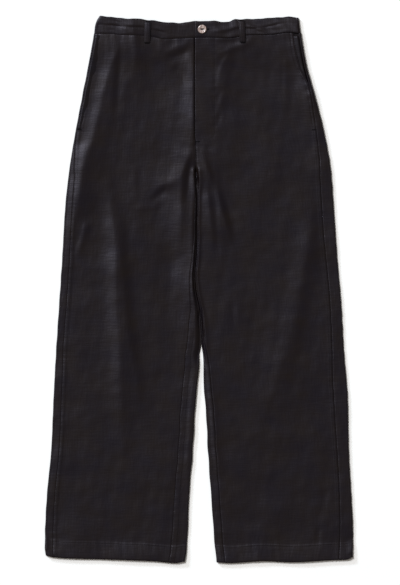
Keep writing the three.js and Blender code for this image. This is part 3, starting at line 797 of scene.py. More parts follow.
    def waist_relief(self, x: Array, down: Array) -> Array:
        """Small gathers that run down out of the waist seam."""
        below = down - self.waist_line(x)
        gathers = WAIST_GATHER.along(x) * np.exp(-np.maximum(below, 0) / self.gather_reach)
        pressed = 0.35 + 0.65 * ease(x, -0.105, -0.075)
        return gathers - pressed * WAIST_SEAM.at(below)

    def face(self, side: Side, x: Array, down: Array) -> Array:
        """Height of the middle of the face cloth.

        Args:
            side: The side that the cloth belongs to.
            x: Places across.
            down: Places down.

        Returns:
            The height at each place.
        """
        below = np.maximum(down - self.waist_line(x), 0)
        near_waist = self.waist_hold * np.exp(-below / self.waist_hold_reach)
        relief = np.maximum(self.relief[side](x, down), self.lowest) * (1 - near_waist)
        fine = self.seam_relief(side, x, down) + self.pocket_relief(side, x, down)
        fine = fine + self.fly_relief(side, x, down) + self.hem_relief(x, down)
        fine = fine + self.waist_relief(x, down)
        height = self.loft + self.pillow(side, x, down) + np.maximum(relief + fine, self.lowest)
        height = self.sink(side, x, down, height)
        return height + self.lift(down) + self.lap(side, x, down)

    def pillow(self, side: Side, x: Array, down: Array) -> Array:
        """Swell of the two layers away from the folds at their edges."""
        from_edge = np.abs(self.outer(side, down) - x)
        swell = 1 - PILLOW_SHARE[side] * np.exp(-from_edge / self.pillow_width)
        from_inner = np.abs(x - self.inner(side, down))
        dip = self.inner_dip * np.exp(-from_inner / self.pillow_width)
        return self.pillow_rise * (swell - dip * ease(down, self.crotch, self.crotch + 0.03))

    def sink(self, side: Side, x: Array, down: Array, height: Array) -> Array:
        """Lets the cloth sink into the crease where the two inner folds touch.

        Args:
            side: The side.
            x: Places across.
            down: Places down.
            height: The height before.

        Returns:
            The new height at each place.
        """
        hole = stretch(down, *self.hole)
        slot = ease(down, *self.slot)
        width = self.valley_width + (self.hole_width - self.valley_width) * np.maximum(hole, slot)
        off = np.abs(x - self.inner(side, down))
        along = stretch(down, *self.crease)
        height = height + self.lip_rise * bump(off, width, 1.6 * width) * along
        depth = np.clip((1.15 - off / width) * (1 + self.slot_sharpness * slot), 0, 1)
        return height + (self.valley_floor - height) * depth * along

    def levels(self) -> Array:
        """Levels of the rows of a leg panel, closer together at the waist seam, crotch and hem."""
        top = self.waist_seam + MM * np.array([0, 0.5, 1.2, 2.2, 3.5, 5])
        body = np.arange(self.waist_seam + 8 * MM, self.hem - self.hem_depth - 5 * MM, 3.0 * MM)
        hem = self.hem - self.hem_depth + MM * np.array([-3, -1, 0, 1, 2, 3, 5])
        foot = np.arange(self.hem - self.hem_depth + 8 * MM, self.hem - 5 * MM, 3.0 * MM)
        edge = self.hem + MM * np.array([-3.5, -2.2, -1.2, -0.5, 0])
        return np.concatenate((top, body, hem, foot, edge))


def between(start: Array, end: Array, parts: Array) -> Array:
    """Grid of places that run from start to end, one row for each start."""
    start = np.asarray(start, float)[:, None]
    end = np.asarray(end, float)[:, None]
    return start + (end - start) * np.asarray(parts, float)[None, :]


def new_material(name: str) -> tuple[bpy.types.Material, bpy.types.NodeTree, bpy.types.Node]:
    """Makes a material.

    Args:
        name: The finish's name.

    Returns:
        The material, its node tree and its shader.
    """
    made = bpy.data.materials.new(name)
    made.use_nodes = True
    return made, made.node_tree, made.node_tree.nodes["Principled BSDF"]


def add_tones(tree: bpy.types.NodeTree, share: bpy.types.NodeSocket, shader: bpy.types.Node,
              colours: tuple[Colour, Colour], ends: tuple[float, float] = (0.0, 1.0)) -> None:
    """Colours a shader between two tones.

    Args:
        tree: The material's node tree.
        share: Socket that says how far to go from the first tone to the second.
        shader: The shader to colour.
        colours: The two tones.
        ends: Shares at which they are reached.
    """
    ramp = tree.nodes.new("ShaderNodeValToRGB")
    for element, colour, end in zip(ramp.color_ramp.elements, colours, ends):
        element.position = end
        element.color = (*colour, 1)
    tree.links.new(share, ramp.inputs["Fac"])
    tree.links.new(ramp.outputs["Color"], shader.inputs["Base Color"])


@dataclass(frozen=True)
class ClothFinish:
    """Fine black woven cloth with a soft sheen."""

    name: str
    colour: Colour
    worn: Colour
    specular: float
    specular_tint: Colour = (0.93, 0.87, 1.0)
    sheen: float = 0.003
    sheen_roughness: float = 0.45
    sheen_tint: Colour = (0.86, 0.86, 1.0)
    mottle: float = 19.0
    mottle_ends: tuple[float, float] = (0.36, 0.64)
    roughness: tuple[float, float] = (0.41, 0.36)
    yarn: float = 42.0
    yarn_length: float = 6.0
    bump_height: float = 0.00032
    bump_strength: float = 0.6

    def material(self) -> bpy.types.Material:
        """Builds the material, or returns it if it is there already.

        Returns:
            The material.
        """
        made = bpy.data.materials.get(self.name)
        if made:
            return made
        made, tree, shader = new_material(self.name)
        shader.inputs["Specular IOR Level"].default_value = self.specular
        shader.inputs["Specular Tint"].default_value = (*self.specular_tint, 1)
        shader.inputs["Sheen Weight"].default_value = self.sheen
        shader.inputs["Sheen Roughness"].default_value = self.sheen_roughness
        shader.inputs["Sheen Tint"].default_value = (*self.sheen_tint, 1)
        place = tree.nodes.new("ShaderNodeUVMap")
        place.uv_map = "cloth"
        self._colour(tree, place.outputs["UV"], shader)
        self._weave(tree, place.outputs["UV"], shader)
        return made

    def _colour(self, tree: bpy.types.NodeTree, place: bpy.types.NodeSocket,
                shader: bpy.types.Node) -> None:
        """Mottles the colour and the roughness a little, as washed cloth is.

        Args:
            tree: The material's node tree.
            place: Socket with the place on the cloth.
            shader: The cloth's shader.
        """
        mottle = tree.nodes.new("ShaderNodeTexNoise")
        mottle.inputs["Scale"].default_value = self.mottle
        mottle.inputs["Detail"].default_value = 5.0
        mottle.inputs["Roughness"].default_value = 0.62
        tree.links.new(place, mottle.inputs["Vector"])
        add_tones(tree, mottle.outputs["Fac"], shader, (self.colour, self.worn), self.mottle_ends)
        gloss = tree.nodes.new("ShaderNodeMapRange")
        for name, value in zip(("To Min", "To Max"), self.roughness):
            gloss.inputs[name].default_value = value
        tree.links.new(mottle.outputs["Fac"], gloss.inputs["Value"])
        tree.links.new(gloss.outputs["Result"], shader.inputs["Roughness"])

    def _weave(self, tree: bpy.types.NodeTree, place: bpy.types.NodeSocket,
               shader: bpy.types.Node) -> None:
        """Adds uneven yarns across and down the cloth as bump.

        Args:
            tree: The material's node tree.
            place: Socket with the place on the cloth.
            shader: The cloth's shader.
        """
        both = tree.nodes.new("ShaderNodeMath")
        both.operation = "ADD"
        fine = self.yarn_length * self.yarn
        for socket, scale in zip(both.inputs, ((self.yarn, fine, 1), (fine, self.yarn, 1))):
            lay = tree.nodes.new("ShaderNodeMapping")
            lay.inputs["Scale"].default_value = scale
            tree.links.new(place, lay.inputs["Vector"])
            yarn = tree.nodes.new("ShaderNodeTexNoise")
            yarn.inputs["Scale"].default_value = 1.0
            yarn.inputs["Detail"].default_value = 4.0
            tree.links.new(lay.outputs["Vector"], yarn.inputs["Vector"])
            tree.links.new(yarn.outputs["Fac"], socket)
        relief = tree.nodes.new("ShaderNodeBump")
        relief.inputs["Strength"].default_value = self.bump_strength
        relief.inputs["Distance"].default_value = self.bump_height
        tree.links.new(both.outputs["Value"], relief.inputs["Height"])
        tree.links.new(relief.outputs["Normal"], shader.inputs["Normal"])


@dataclass(frozen=True)
class ThreadFinish:
    """Twisted black polyester thread."""

    name: str = "black_thread"
    dark: Colour = (0.00154, 0.00119, 0.00133)
    light: Colour = (0.00308, 0.00238, 0.00266)
    fibre: float = 900.0
    roughness: float = 0.5
    specular: float = 0.05

    def material(self) -> bpy.types.Material:
        """Builds the material, or returns it if it is there already.

        Returns:
            The material.
        """
        made = bpy.data.materials.get(self.name)
        if made:
            return made
        made, tree, shader = new_material(self.name)
        shader.inputs["Specular IOR Level"].default_value = self.specular
        shader.inputs["Roughness"].default_value = self.roughness
        place = tree.nodes.new("ShaderNodeTexCoord")
        fibre = tree.nodes.new("ShaderNodeTexNoise")
        fibre.inputs["Scale"].default_value = self.fibre
        tree.links.new(place.outputs["Object"], fibre.inputs["Vector"])
        add_tones(tree, fibre.outputs["Fac"], shader, (self.dark, self.light))
        return made


@dataclass(frozen=True)
class ShellFinish:
    """Polished pale resin with faint cloudy bands, like shell."""

    name: str = "pale_shell"
    pale: Colour = (0.42, 0.32, 0.28)
    deep: Colour = (0.22, 0.14, 0.115)
    tone_ends: tuple[float, float] = (0.0, 0.55)
    bands: float = 70.0
    distortion: float = 7.0
    roughness: float = 0.22
    coat: float = 0.35

    def material(self) -> bpy.types.Material:
        """Builds the material.

        Returns:
            The material.
        """
        made, tree, shader = new_material(self.name)
        shader.inputs["Roughness"].default_value = self.roughness
        shader.inputs["Coat Weight"].default_value = self.coat
        place = tree.nodes.new("ShaderNodeTexCoord")
        cloud = tree.nodes.new("ShaderNodeTexWave")
        cloud.inputs["Scale"].default_value = self.bands
        cloud.inputs["Distortion"].default_value = self.distortion
        cloud.inputs["Detail"].default_value = 3.0
        tree.links.new(place.outputs["Object"], cloud.inputs["Vector"])
        add_tones(tree, cloud.outputs["Fac"], shader, (self.deep, self.pale), self.tone_ends)
        return made


FACE_CLOTH = ClothFinish("black_cloth", (0.0050, 0.0024, 0.0012), (0.0036, 0.0020, 0.0032), 0.235)
INNER_CLOTH = ClothFinish("black_lining_cloth", (0.0050, 0.0030, 0.0022), (0.0036, 0.0026, 0.0038), 0.20)
THREAD = ThreadFinish()


def mesh_object(name: str, points: Array, faces: list[list[int]],
                material: bpy.types.Material) -> bpy.types.Object:
    """Makes a smooth mesh object at the origin and puts it in the scene.

    Args:
        name: Name of the object and its mesh.
        points: One row of three numbers for each point.
        faces: Point numbers round each face.
        material: The finish.

    Returns:
        The new object.
    """
    mesh = bpy.data.meshes.new(name)
    mesh.from_pydata(points.tolist(), [], faces)
    mesh.materials.append(material)
    mesh.polygons.foreach_set("use_smooth", np.ones(len(faces), bool))
    mesh.update()
    made = bpy.data.objects.new(name, mesh)
    bpy.context.scene.collection.objects.link(made)
    return made


def dress(piece: bpy.types.Object, slot: str, *nodes: str) -> bpy.types.Object:
    """Makes a piece ride on the garment's body.

    Args:
        piece: The piece.
        slot: Name of a material slot; not used.
        nodes: The nodes that it stands for.

    Returns:
        The piece.
    """
    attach(piece, "root")
    if nodes:
        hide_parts(*nodes)
    return piece


def grid_normals(middle: Array) -> Array:
    """Unit normals of a grid of points, by the lines through each point."""
    down = np.gradient(middle, axis=0)
    across = np.gradient(middle, axis=1)
    normal = np.cross(across, down)
    return normal / np.maximum(np.linalg.norm(normal, axis=2, keepdims=True), 1e-12)


@dataclass
class Wall:
    """Closed wall of cloth round a grid of middle points, whose first column faces up."""

    middle: Array
    thickness: float

    def offset(self) -> tuple[Array, Array]:
        """Returns the outside and the inside grids."""
        normal = grid_normals(self.middle)
        if normal[len(normal) // 2, 0, 2] < 0:
            normal = -normal
        return self.middle + normal * self.thickness / 2, self.middle - normal * self.thickness / 2

    def faces(self) -> Array:
        """Quads of the outside, the inside and the rim between them.

        Returns:
            Four point numbers for each face.
        """
        rows, columns = self.middle.shape[:2]
        outer = np.arange(rows * columns).reshape(rows, columns)
        inner = outer + rows * columns
        rims = (
            self._rim(outer[0], inner[0]),
            self._rim(outer[-1], inner[-1])[:, ::-1],
            self._rim(outer[:, 0], inner[:, 0])[:, ::-1],
            self._rim(outer[:, -1], inner[:, -1]),
        )
        return np.concatenate((self._quads(outer), self._quads(inner)[:, ::-1], *rims))

    @staticmethod
    def _quads(grid: Array) -> Array:
        """Faces between the points of a grid."""
        corners = (grid[:-1, :-1], grid[:-1, 1:], grid[1:, 1:], grid[1:, :-1])
        return np.stack(corners, axis=-1).reshape(-1, 4)

    @staticmethod
    def _rim(outer_edge: Array, inner_edge: Array) -> Array:
        """Faces between an edge of the outside and the same edge of the inside."""
        corners = (outer_edge[:-1], inner_edge[:-1], inner_edge[1:], outer_edge[1:])
        return np.stack(corners, axis=-1)

    def build(self, name: str, finish: ClothFinish) -> bpy.types.Object:
        """Makes the mesh object with its faces outwards and its cloth coordinates.

        Args:
            name: Name of the piece.
            finish: The finish.

        Returns:
            The wall's object.
        """
        outside, inside = self.offset()
        points = np.concatenate((outside.reshape(-1, 3), inside.reshape(-1, 3)))
        faces = self.faces()
        corners = points[faces]
        volume = np.einsum("ij,ij->", corners[:, 0], np.cross(corners[:, 1], corners[:, 2]))
        volume += np.einsum("ij,ij->", corners[:, 0], np.cross(corners[:, 2], corners[:, 3]))
        if volume < 0:
            faces = faces[:, ::-1]
        made = mesh_object(name, points, faces.tolist(), finish.material())
        self._lay_cloth(made.data, faces)
        return made

    def _lay_cloth(self, mesh: bpy.types.Mesh, faces: Array) -> None:
        """Stores the distance across and down the cut at each corner, in metres."""
        step = np.linalg.norm(np.diff(self.middle, axis=1), axis=2)
        across = np.concatenate((np.zeros((len(step), 1)), np.cumsum(step, axis=1)), axis=1)
        across = across + self.middle[:, :1, 0]
        flat = np.stack((across, self.middle[:, :, 1]), axis=-1).reshape(-1, 2)
        both = np.concatenate((flat, flat))
        layer = mesh.uv_layers.new(name="cloth")
        layer.data.foreach_set("uv", both[faces.reshape(-1)].reshape(-1))


def edge_steps(distances: tuple[float, ...], count: int) -> Array:
    """Column places, as shares of the width, that are close at both edges and even between."""
    near = np.array(distances)
    inner = np.linspace(near[-1], 1 - near[-1], count)[1:-1]
    return np.concatenate((near, inner, 1 - near[::-1]))


@dataclass
class FrontPanel:
    """One front leg panel, from its side seam or pocket mouth to the middle seam or the inseam."""

    form: Form
    side: Side
    columns: int = 74
    edge: tuple[float, ...] = (
        0.0, 0.0022, 0.0045, 0.0070, 0.0095, 0.0125, 0.0165, 0.021, 0.0255, 0.030, 0.036, 0.044, 0.053,
    )

    def middle(self) -> Array:
        """Grid of the middle points of the cloth.

        Returns:
            The points, one row for each level.
        """
        form, side = self.form, self.side
        levels = form.levels()
        gap = form.seam_gap / 2
        out = form.seam("side", side, levels) + form.seam("mouth", side, levels) + gap
        start = form.outer(side, levels) - side.sign * out
        end = form.inner(side, levels) + side.sign * (form.seam("inseam", side, levels) + gap)
        x = between(start, end, edge_steps(self.edge, self.columns))
        down = form.settle(side, x, levels[:, None] + 0 * x)
        return np.stack((x, form.y(down), form.face(side, x, down)), axis=-1)

    def build(self) -> bpy.types.Object:
        """Builds and dresses the panel."""
        wall = Wall(self.middle(), self.form.cloth)
        made = wall.build(f"front_{self.side.label}_cloth", FACE_CLOTH)
        dress(made, "cloth", f"front_{self.side.label}")
        return made


@dataclass
class BackPanel:
    """One back leg panel: on the surface, and wrapped round both folds to the seams on the face."""

    form: Form
    side: Side
    turn_steps: int = 8
    under_columns: int = 26
    least_outer_radius: float = 0.0009
    least_inner_radius: float = 0.0008
    lip: tuple[float, ...] = (
        0.0, 0.03, 0.06, 0.10, 0.15, 0.22, 0.30, 0.39, 0.49, 0.60, 0.70, 0.78, 0.85, 0.90, 0.94, 0.97, 0.99,
    )

    def outer_end(self, level: float) -> Array:
        """Section from the side seam over the outer fold, as x and z.

        Args:
            level: The level of the section.

        Returns:
            Its points.
        """
        form, side = self.form, self.side
        edge = float(form.outer(side, level))
        back = float(form.back_height(level))
        at = np.array([edge - side.sign * 2 * MM])
        face = float(form.face(side, at, np.array([level]))[0])
        radius = max((face - back) / 2, self.least_outer_radius)
        middle = edge - side.sign * (radius + form.cloth / 2)
        lip_x = edge - side.sign * (float(form.seam("side", side, level)) - form.seam_gap / 2)
        x = lip_x + (middle - lip_x) * np.array(self.lip)
        down = form.settle(side, x, level + 0 * x)
        z = form.face(side, x, down)
        blend = ease(np.array(self.lip), 0.55, 1.0)
        z = z + (back + 2 * radius - z) * blend
        angle = math.pi / 2 - math.pi * np.arange(self.turn_steps + 1) / self.turn_steps
        fold_x = middle + side.sign * radius * np.cos(angle)
        fold_z = back + radius + radius * np.sin(angle)
        return np.stack((np.concatenate((x, fold_x)), np.concatenate((z, fold_z))), axis=-1)

    def inner_end(self, level: float) -> Array:
        """Section at the inner edge: flat above the crotch, then turned up round the inner fold.

        Args:
            level: The level of the section.

        Returns:
            Its points.
        """
        form, side = self.form, self.side
        edge = float(form.inner(side, level))
        back = float(form.back_height(level))
        turn = min(max((level - form.crotch) / form.turn, 0), 1)
        at = np.array([edge + side.sign * 2 * MM])
        face = float(form.face(side, at, np.array([level]))[0])
        radius = max((face - back) / 2, self.least_inner_radius)
        room = float(form.seam("inseam", side, level)) - form.seam_gap / 2 - radius - form.cloth / 2
        lip = max(room, form.cloth / 2)
        length = math.pi * radius * np.arange(self.turn_steps + 1) / self.turn_steps
        bend = turn / radius
        reach = np.sin(bend * length) / bend if turn > 0 else length
        rise = (1 - np.cos(bend * length)) / bend if turn > 0 else 0 * length
        turned = math.pi * turn
        steps = 1 - np.array(self.lip)[::-1]
        along = lip * steps
        reach = np.concatenate((reach, reach[-1] + along * math.cos(turned)))
        rise = np.concatenate((rise, rise[-1] + along * math.sin(turned)))
        widest = reach.max() + form.cloth / 2 * math.sin(min(turned, math.pi / 2))
        x = edge + side.sign * (widest - reach)
        z = back + rise
        lip_x = x[self.turn_steps + 1:]
        down = form.settle(side, lip_x, level + 0 * lip_x)
        face_z = form.face(side, lip_x, down)
        blend = ease(steps, 0, 0.45) * ease(turn, 0.75, 1.0)
        z[self.turn_steps + 1:] += (face_z - z[self.turn_steps + 1:]) * blend
        return np.stack((x, z), axis=-1)

    def section(self, level: float) -> Array:
        """Grid row of middle points at one level.

        Args:
            level: The level of the section.

        Returns:
            Its points.
        """
        form, side = self.form, self.side
        first = self.outer_end(level)
        last = self.inner_end(level)
        parts = (np.arange(self.under_columns) + 1) / (self.under_columns + 1)
        under_x = first[-1, 0] + (last[0, 0] - first[-1, 0]) * parts
        under_z = np.full(self.under_columns, float(form.back_height(level)))
        x = np.concatenate((first[:, 0], under_x, last[:, 0]))
        z = np.concatenate((first[:, 1], under_z, last[:, 1]))
        on_face = form.settle(side, x, level + 0 * x)
        below = form.settle(side, x, level + 0 * x, under=True)
        faces_up = np.zeros(len(x), bool)
        faces_up[: len(self.lip) + 1] = True
        faces_up[len(x) - len(self.lip):] = level > form.crotch
        down = np.where(faces_up, on_face, below)
        return np.stack((x, form.y(down), z), axis=-1)

    def build(self) -> bpy.types.Object:
        """Builds and dresses the panel."""
        middle = np.stack([self.section(float(level)) for level in self.form.levels()])
        wall = Wall(middle, self.form.cloth)
        made = wall.build(f"back_{self.side.label}_cloth", FACE_CLOTH)
        dress(made, "cloth", f"back_{self.side.label}")
        return made


@dataclass(frozen=True)
class GrooveRow:
    """Share of the waistband's height at which its long crease lies at one place."""

    x: float
    share: float


GROOVE = (
    GrooveRow(-0.200, 0.51),
    GrooveRow(-0.115, 0.485),
    GrooveRow(-0.066, 0.39),
    GrooveRow(0.070, 0.44),
    GrooveRow(0.100, 0.38),
    GrooveRow(0.168, 0.60),
    GrooveRow(0.200, 0.62),
)


@dataclass
class Waistband:
    """One half of the waistband, from its front end round the side to the centre back."""

    form: Form
    side: Side
    cloth: float = 0.0015
    lap_rise: float = 0.0012
    underlap: float = 0.038
    tall: float = 0.032
    stitch_row: float = 0.0020
    groove_depth: float = 0.0006
    groove_width: float = 0.06
    lip_rise: float = 0.0003
    lip_off: float = 0.14
    lip_width: float = 0.09
    fold_share: float = 0.8
    top_fold_loss: float = 0.4
    lean: float = 0.0034
    front_columns: int = 110
    back_columns: int = 24
    turn_steps: int = 8
    rows: tuple[float, ...] = (
        0.0, 0.02, 0.045, 0.075, 0.11, 0.17, 0.24, 0.31, 0.37, 0.42, 0.46, 0.50, 0.54, 0.59, 0.65, 0.72,
        0.79, 0.85, 0.895, 0.93, 0.96, 0.985, 1.0,
    )

    def height(self, x: Array, across: float) -> Array:
        """Height of the middle of the band on the face, over the underlap near the button.

        Args:
            x: Places across.
            across: Share of the band's height, from its seam up.

        Returns:
            The height at each place.
        """
        seam = self.form.waist_line(x)
        level = seam + (self.form.waist_top(x) - seam) * across
        fold = self.fold_share * np.maximum(self.form.relief[self.side](x, level), self.form.lowest)
        fold = fold * (1 - self.top_fold_loss * ease(across, 0.6, 1.0))
        lean = self.lean * (across - 0.5) * ease(x, 0.015, 0.070)
        flat = self.form.loft + self.form.loop_lift + fold + self.form.pillow(self.side, x, seam) - lean
        if self.side is Side.RIGHT:
            return flat
        start = self.form.fly_x + self.form.lap_flat
        return flat + self.lap_rise * (1 - ease(x, start, start + self.form.lap_ramp))

    def relief(self, x: Array, across: float) -> Array:
        """Lengthwise groove, stitch rows, rolled edges and the drag lines of the gathers.

        Args:
            x: Places across.
            across: Share of the band's height, from its seam up.

        Returns:
            The relief at each place.
        """
        inboard = min(across, 1 - across) * self.tall
        reach = ease(np.abs(x), 0.055, 0.085) * (1 - 0.6 * ease(x, 0.150, 0.185))
        reach = reach * (0.75 + BAND_CREASE_SHARE.along(x))
        from_groove = across - Reading(GROOVE, "share", "x")(x)
        groove = self.groove_depth * bump(from_groove, 0, self.groove_width)
        lip = self.lip_rise * bump(from_groove, self.lip_off, self.lip_width)
        gathers = BAND_GATHER.along(x + 0.022 * (across - 0.5), self.side.sign) * ease(inboard, 0, 6 * MM)
        pulled = bump(x, 0.118, 0.024) + 0.5 * bump(x, -0.155, 0.03)
        drag = BAND_DRAG.along(x * 0.35 + 0.030 * across) * pulled * ease(inboard, 0, 5 * MM)
        dents = BAND_EDGE.at(inboard) + BAND_ROW.at(inboard - self.stitch_row)
        return gathers + drag + (lip - groove) * reach - dents

    def down_at(self, x: Array, across: float, under: bool) -> Array:
        """How far down a share of the band's height lies.

        Args:
            x: Places across.
            across: Share of the height, from the waist seam to the top edge.
            under: Whether the places are on the back.

        Returns:
            The distance down at each place.
        """
        seam = self.form.waist_seam_at(self.side, x, under)
        return seam + (self.form.waist_top(x) + BAND_TOP_WAVE.along(x) * across - seam) * across

    def section(self, across: float) -> Array:
        """Grid row of middle points at one share of the band's height.

        Args:
            across: Share of the band's height, from its seam up.

        Returns:
            Its points.
        """
        form, side = self.form, self.side
        front_end = form.fly_x + (form.seam_gap / 2 if side is Side.LEFT else self.underlap)
        centre_back = form.fly_x + side.sign * form.seam_gap / 2
        at_edge = np.array([side.sign * form.waist_reach])
        edge = float(form.outer(side, self.down_at(at_edge, across, False))[0])
        flat = form.loft + form.loop_lift
        back = form.loop_lift + self.cloth / 2
        radius = (flat - back) / 2
        middle = edge - side.sign * (radius + self.cloth / 2)
        x = front_end + (middle - front_end) * np.arange(self.front_columns) / self.front_columns
        near_fold = 1 - ease(np.abs(middle - x), 0, 6 * MM)
        z = self.height(x, across) + self.relief(x, across) * (1 - near_fold)
        angle = math.pi / 2 - math.pi * np.arange(self.turn_steps + 1) / self.turn_steps
        fold_x = middle + side.sign * radius * np.cos(angle)
        fold_z = back + radius + radius * np.sin(angle)
        back_x = middle + (centre_back - middle) * np.arange(1, self.back_columns + 1) / self.back_columns
        blend = np.linspace(0, 1, self.turn_steps + 1)
        fold_down = self.down_at(fold_x, across, False) * (1 - blend)
        fold_down = fold_down + self.down_at(fold_x, across, True) * blend
        down = (self.down_at(x, across, False), fold_down, self.down_at(back_x, across, True))
        all_x = np.concatenate((x, fold_x, back_x))
        all_z = np.concatenate((z, fold_z, np.full(self.back_columns, back)))
        return np.stack((all_x, form.y(np.concatenate(down)), all_z), axis=-1)

    def build(self) -> bpy.types.Object:
        """Builds and dresses the band."""
        wall = Wall(np.stack([self.section(row) for row in self.rows]), self.cloth)
        made = wall.build(f"waistband_{self.side.label}_cloth", FACE_CLOTH)
        dress(made, "cloth", f"waistband_{self.side.label}")
        return made

    def top(self, x: Array, across: float) -> Array:
        """Height of the band's outside at a share of its height."""
        return self.height(x, across) + self.relief(x, across) + self.cloth / 2


@dataclass
class Strip:
    """Flat strip of cloth with its length down the garment."""

    form: Form
    name: str
    start: float
    end: float
    thickness: float
    finish: ClothFinish
    slot: str
    rows: int = 40
    columns: int = 10

    def build(self, left_edge: Callable[[Array], Array], right_edge: Callable[[Array], Array],
              height: Callable[[Array, Array], Array], flat: tuple[float, float],
              rests_on: list[str]) -> bpy.types.Object:
        """Builds and dresses the strip.

        Args:
            left_edge: Gives x of one long edge at each level.
            right_edge: Gives x of the other long edge at each level.
            height: Gives the middle height at each x and level.
            flat: Size of the cut; not used.
            rests_on: Names of what the strip lies on; not used.

        Returns:
            The strip's object.
        """
        down = np.linspace(self.start, self.end, self.rows + 1)
        x = between(left_edge(down), right_edge(down), np.linspace(0, 1, self.columns + 1))
        level = down[:, None] + 0 * x
        middle = np.stack((x, self.form.y(level), height(x, level)), axis=-1)
        wall = Wall(middle, self.thickness)
        made = wall.build(f"{self.name}_cloth", self.finish)
        dress(made, self.slot, self.name)
        return made


@dataclass
class InnerPieces:
    """The cloth that shows inside the fly and the pocket mouths."""

    form: Form
    thickness: float = 0.0008
    shield_width: float = 0.034
    facing_width: float = 0.027
    facing_rise: float = 0.0034
    facing_tilt: float = 0.0017
    facing_tilt_reach: float = 0.017
    facing_gap: float = 0.0002

    def shield(self) -> bpy.types.Object:
        """Strip sewn to the right front's fly edge, under the left front.

        Returns:
            The shield's object.
        """
        form = self.form
        start = float(form.waist_line(form.fly_x)) + form.seam_gap
        strip = Strip(form, "fly_shield", start, form.fly_end, self.thickness, INNER_CLOTH, "inner_cloth")
        left = form.fly_x + form.seam_gap
        return strip.build(
            lambda down: left + 0 * down,
            lambda down: left + self.shield_width + 0 * down,
            lambda x, down: form.loft + form.lift(down),
            (self.shield_width, 0.19),
            ["back_left_cloth"],
        )

    def facing(self, side: Side) -> bpy.types.Object:
        """Cloth seen in a pocket mouth, from the side seam to under the front.

        Args:
            side: The side.

        Returns:
            The facing's object.
        """
        form = self.form
        strip = Strip(form, f"pocket_facing_{side.label}", form.waist_seam, form.pocket_end,
                      self.thickness, INNER_CLOTH, "inner_cloth")
        return strip.build(
            lambda down: self.facing_edge(side, down),
            lambda down: self.facing_edge(side, down) - side.sign * self.facing_reach(side, down),
            lambda x, down: self.facing_height(side, x, down),
            (0.037, 0.184),
            [f"back_{side.label}_cloth"],
        )

    def facing_edge(self, side: Side, down: Array) -> Array:
        """Where a facing meets the side seam."""
        inboard = self.form.seam("side", side, down) + self.facing_gap
        return self.form.outer(side, down) - side.sign * inboard

    def facing_reach(self, side: Side, down: Array) -> Array:
        """How far a facing goes from the side seam to its edge under the front."""
        return self.facing_width + self.form.seam("mouth", side, down)

    def facing_height(self, side: Side, x: Array, down: Array) -> Array:
        """Height of the middle of a facing.

        Args:
            side: The side.
            x: Places across.
            down: Places down.

        Returns:
            The height at each place.
        """
        from_seam = np.abs(self.facing_edge(side, down) - x)
        tilt = self.facing_tilt * (1 - ease(from_seam, 0, self.facing_tilt_reach))
        return self.facing_rise + tilt + self.form.lift(down) + FACING_WAVE.along(down)

    def build(self) -> list[bpy.types.Object]:
        """Builds the shield and both facings."""
        return [self.shield(), self.facing(Side.RIGHT), self.facing(Side.LEFT)]


@dataclass(frozen=True)
class LoopPlace:
    """Where one belt loop lies: the middle of its two ends."""

    name: str
    side: Side
    x: float
    down: float
    to_x: float
    to_down: float


FRONT_LOOPS = (
    LoopPlace("belt_loop_front_right", Side.RIGHT, -0.0995, 0.0105, -0.1015, 0.0540),
    LoopPlace("belt_loop_front_left", Side.LEFT, 0.0830, 0.0085, 0.0855, 0.0530),
)


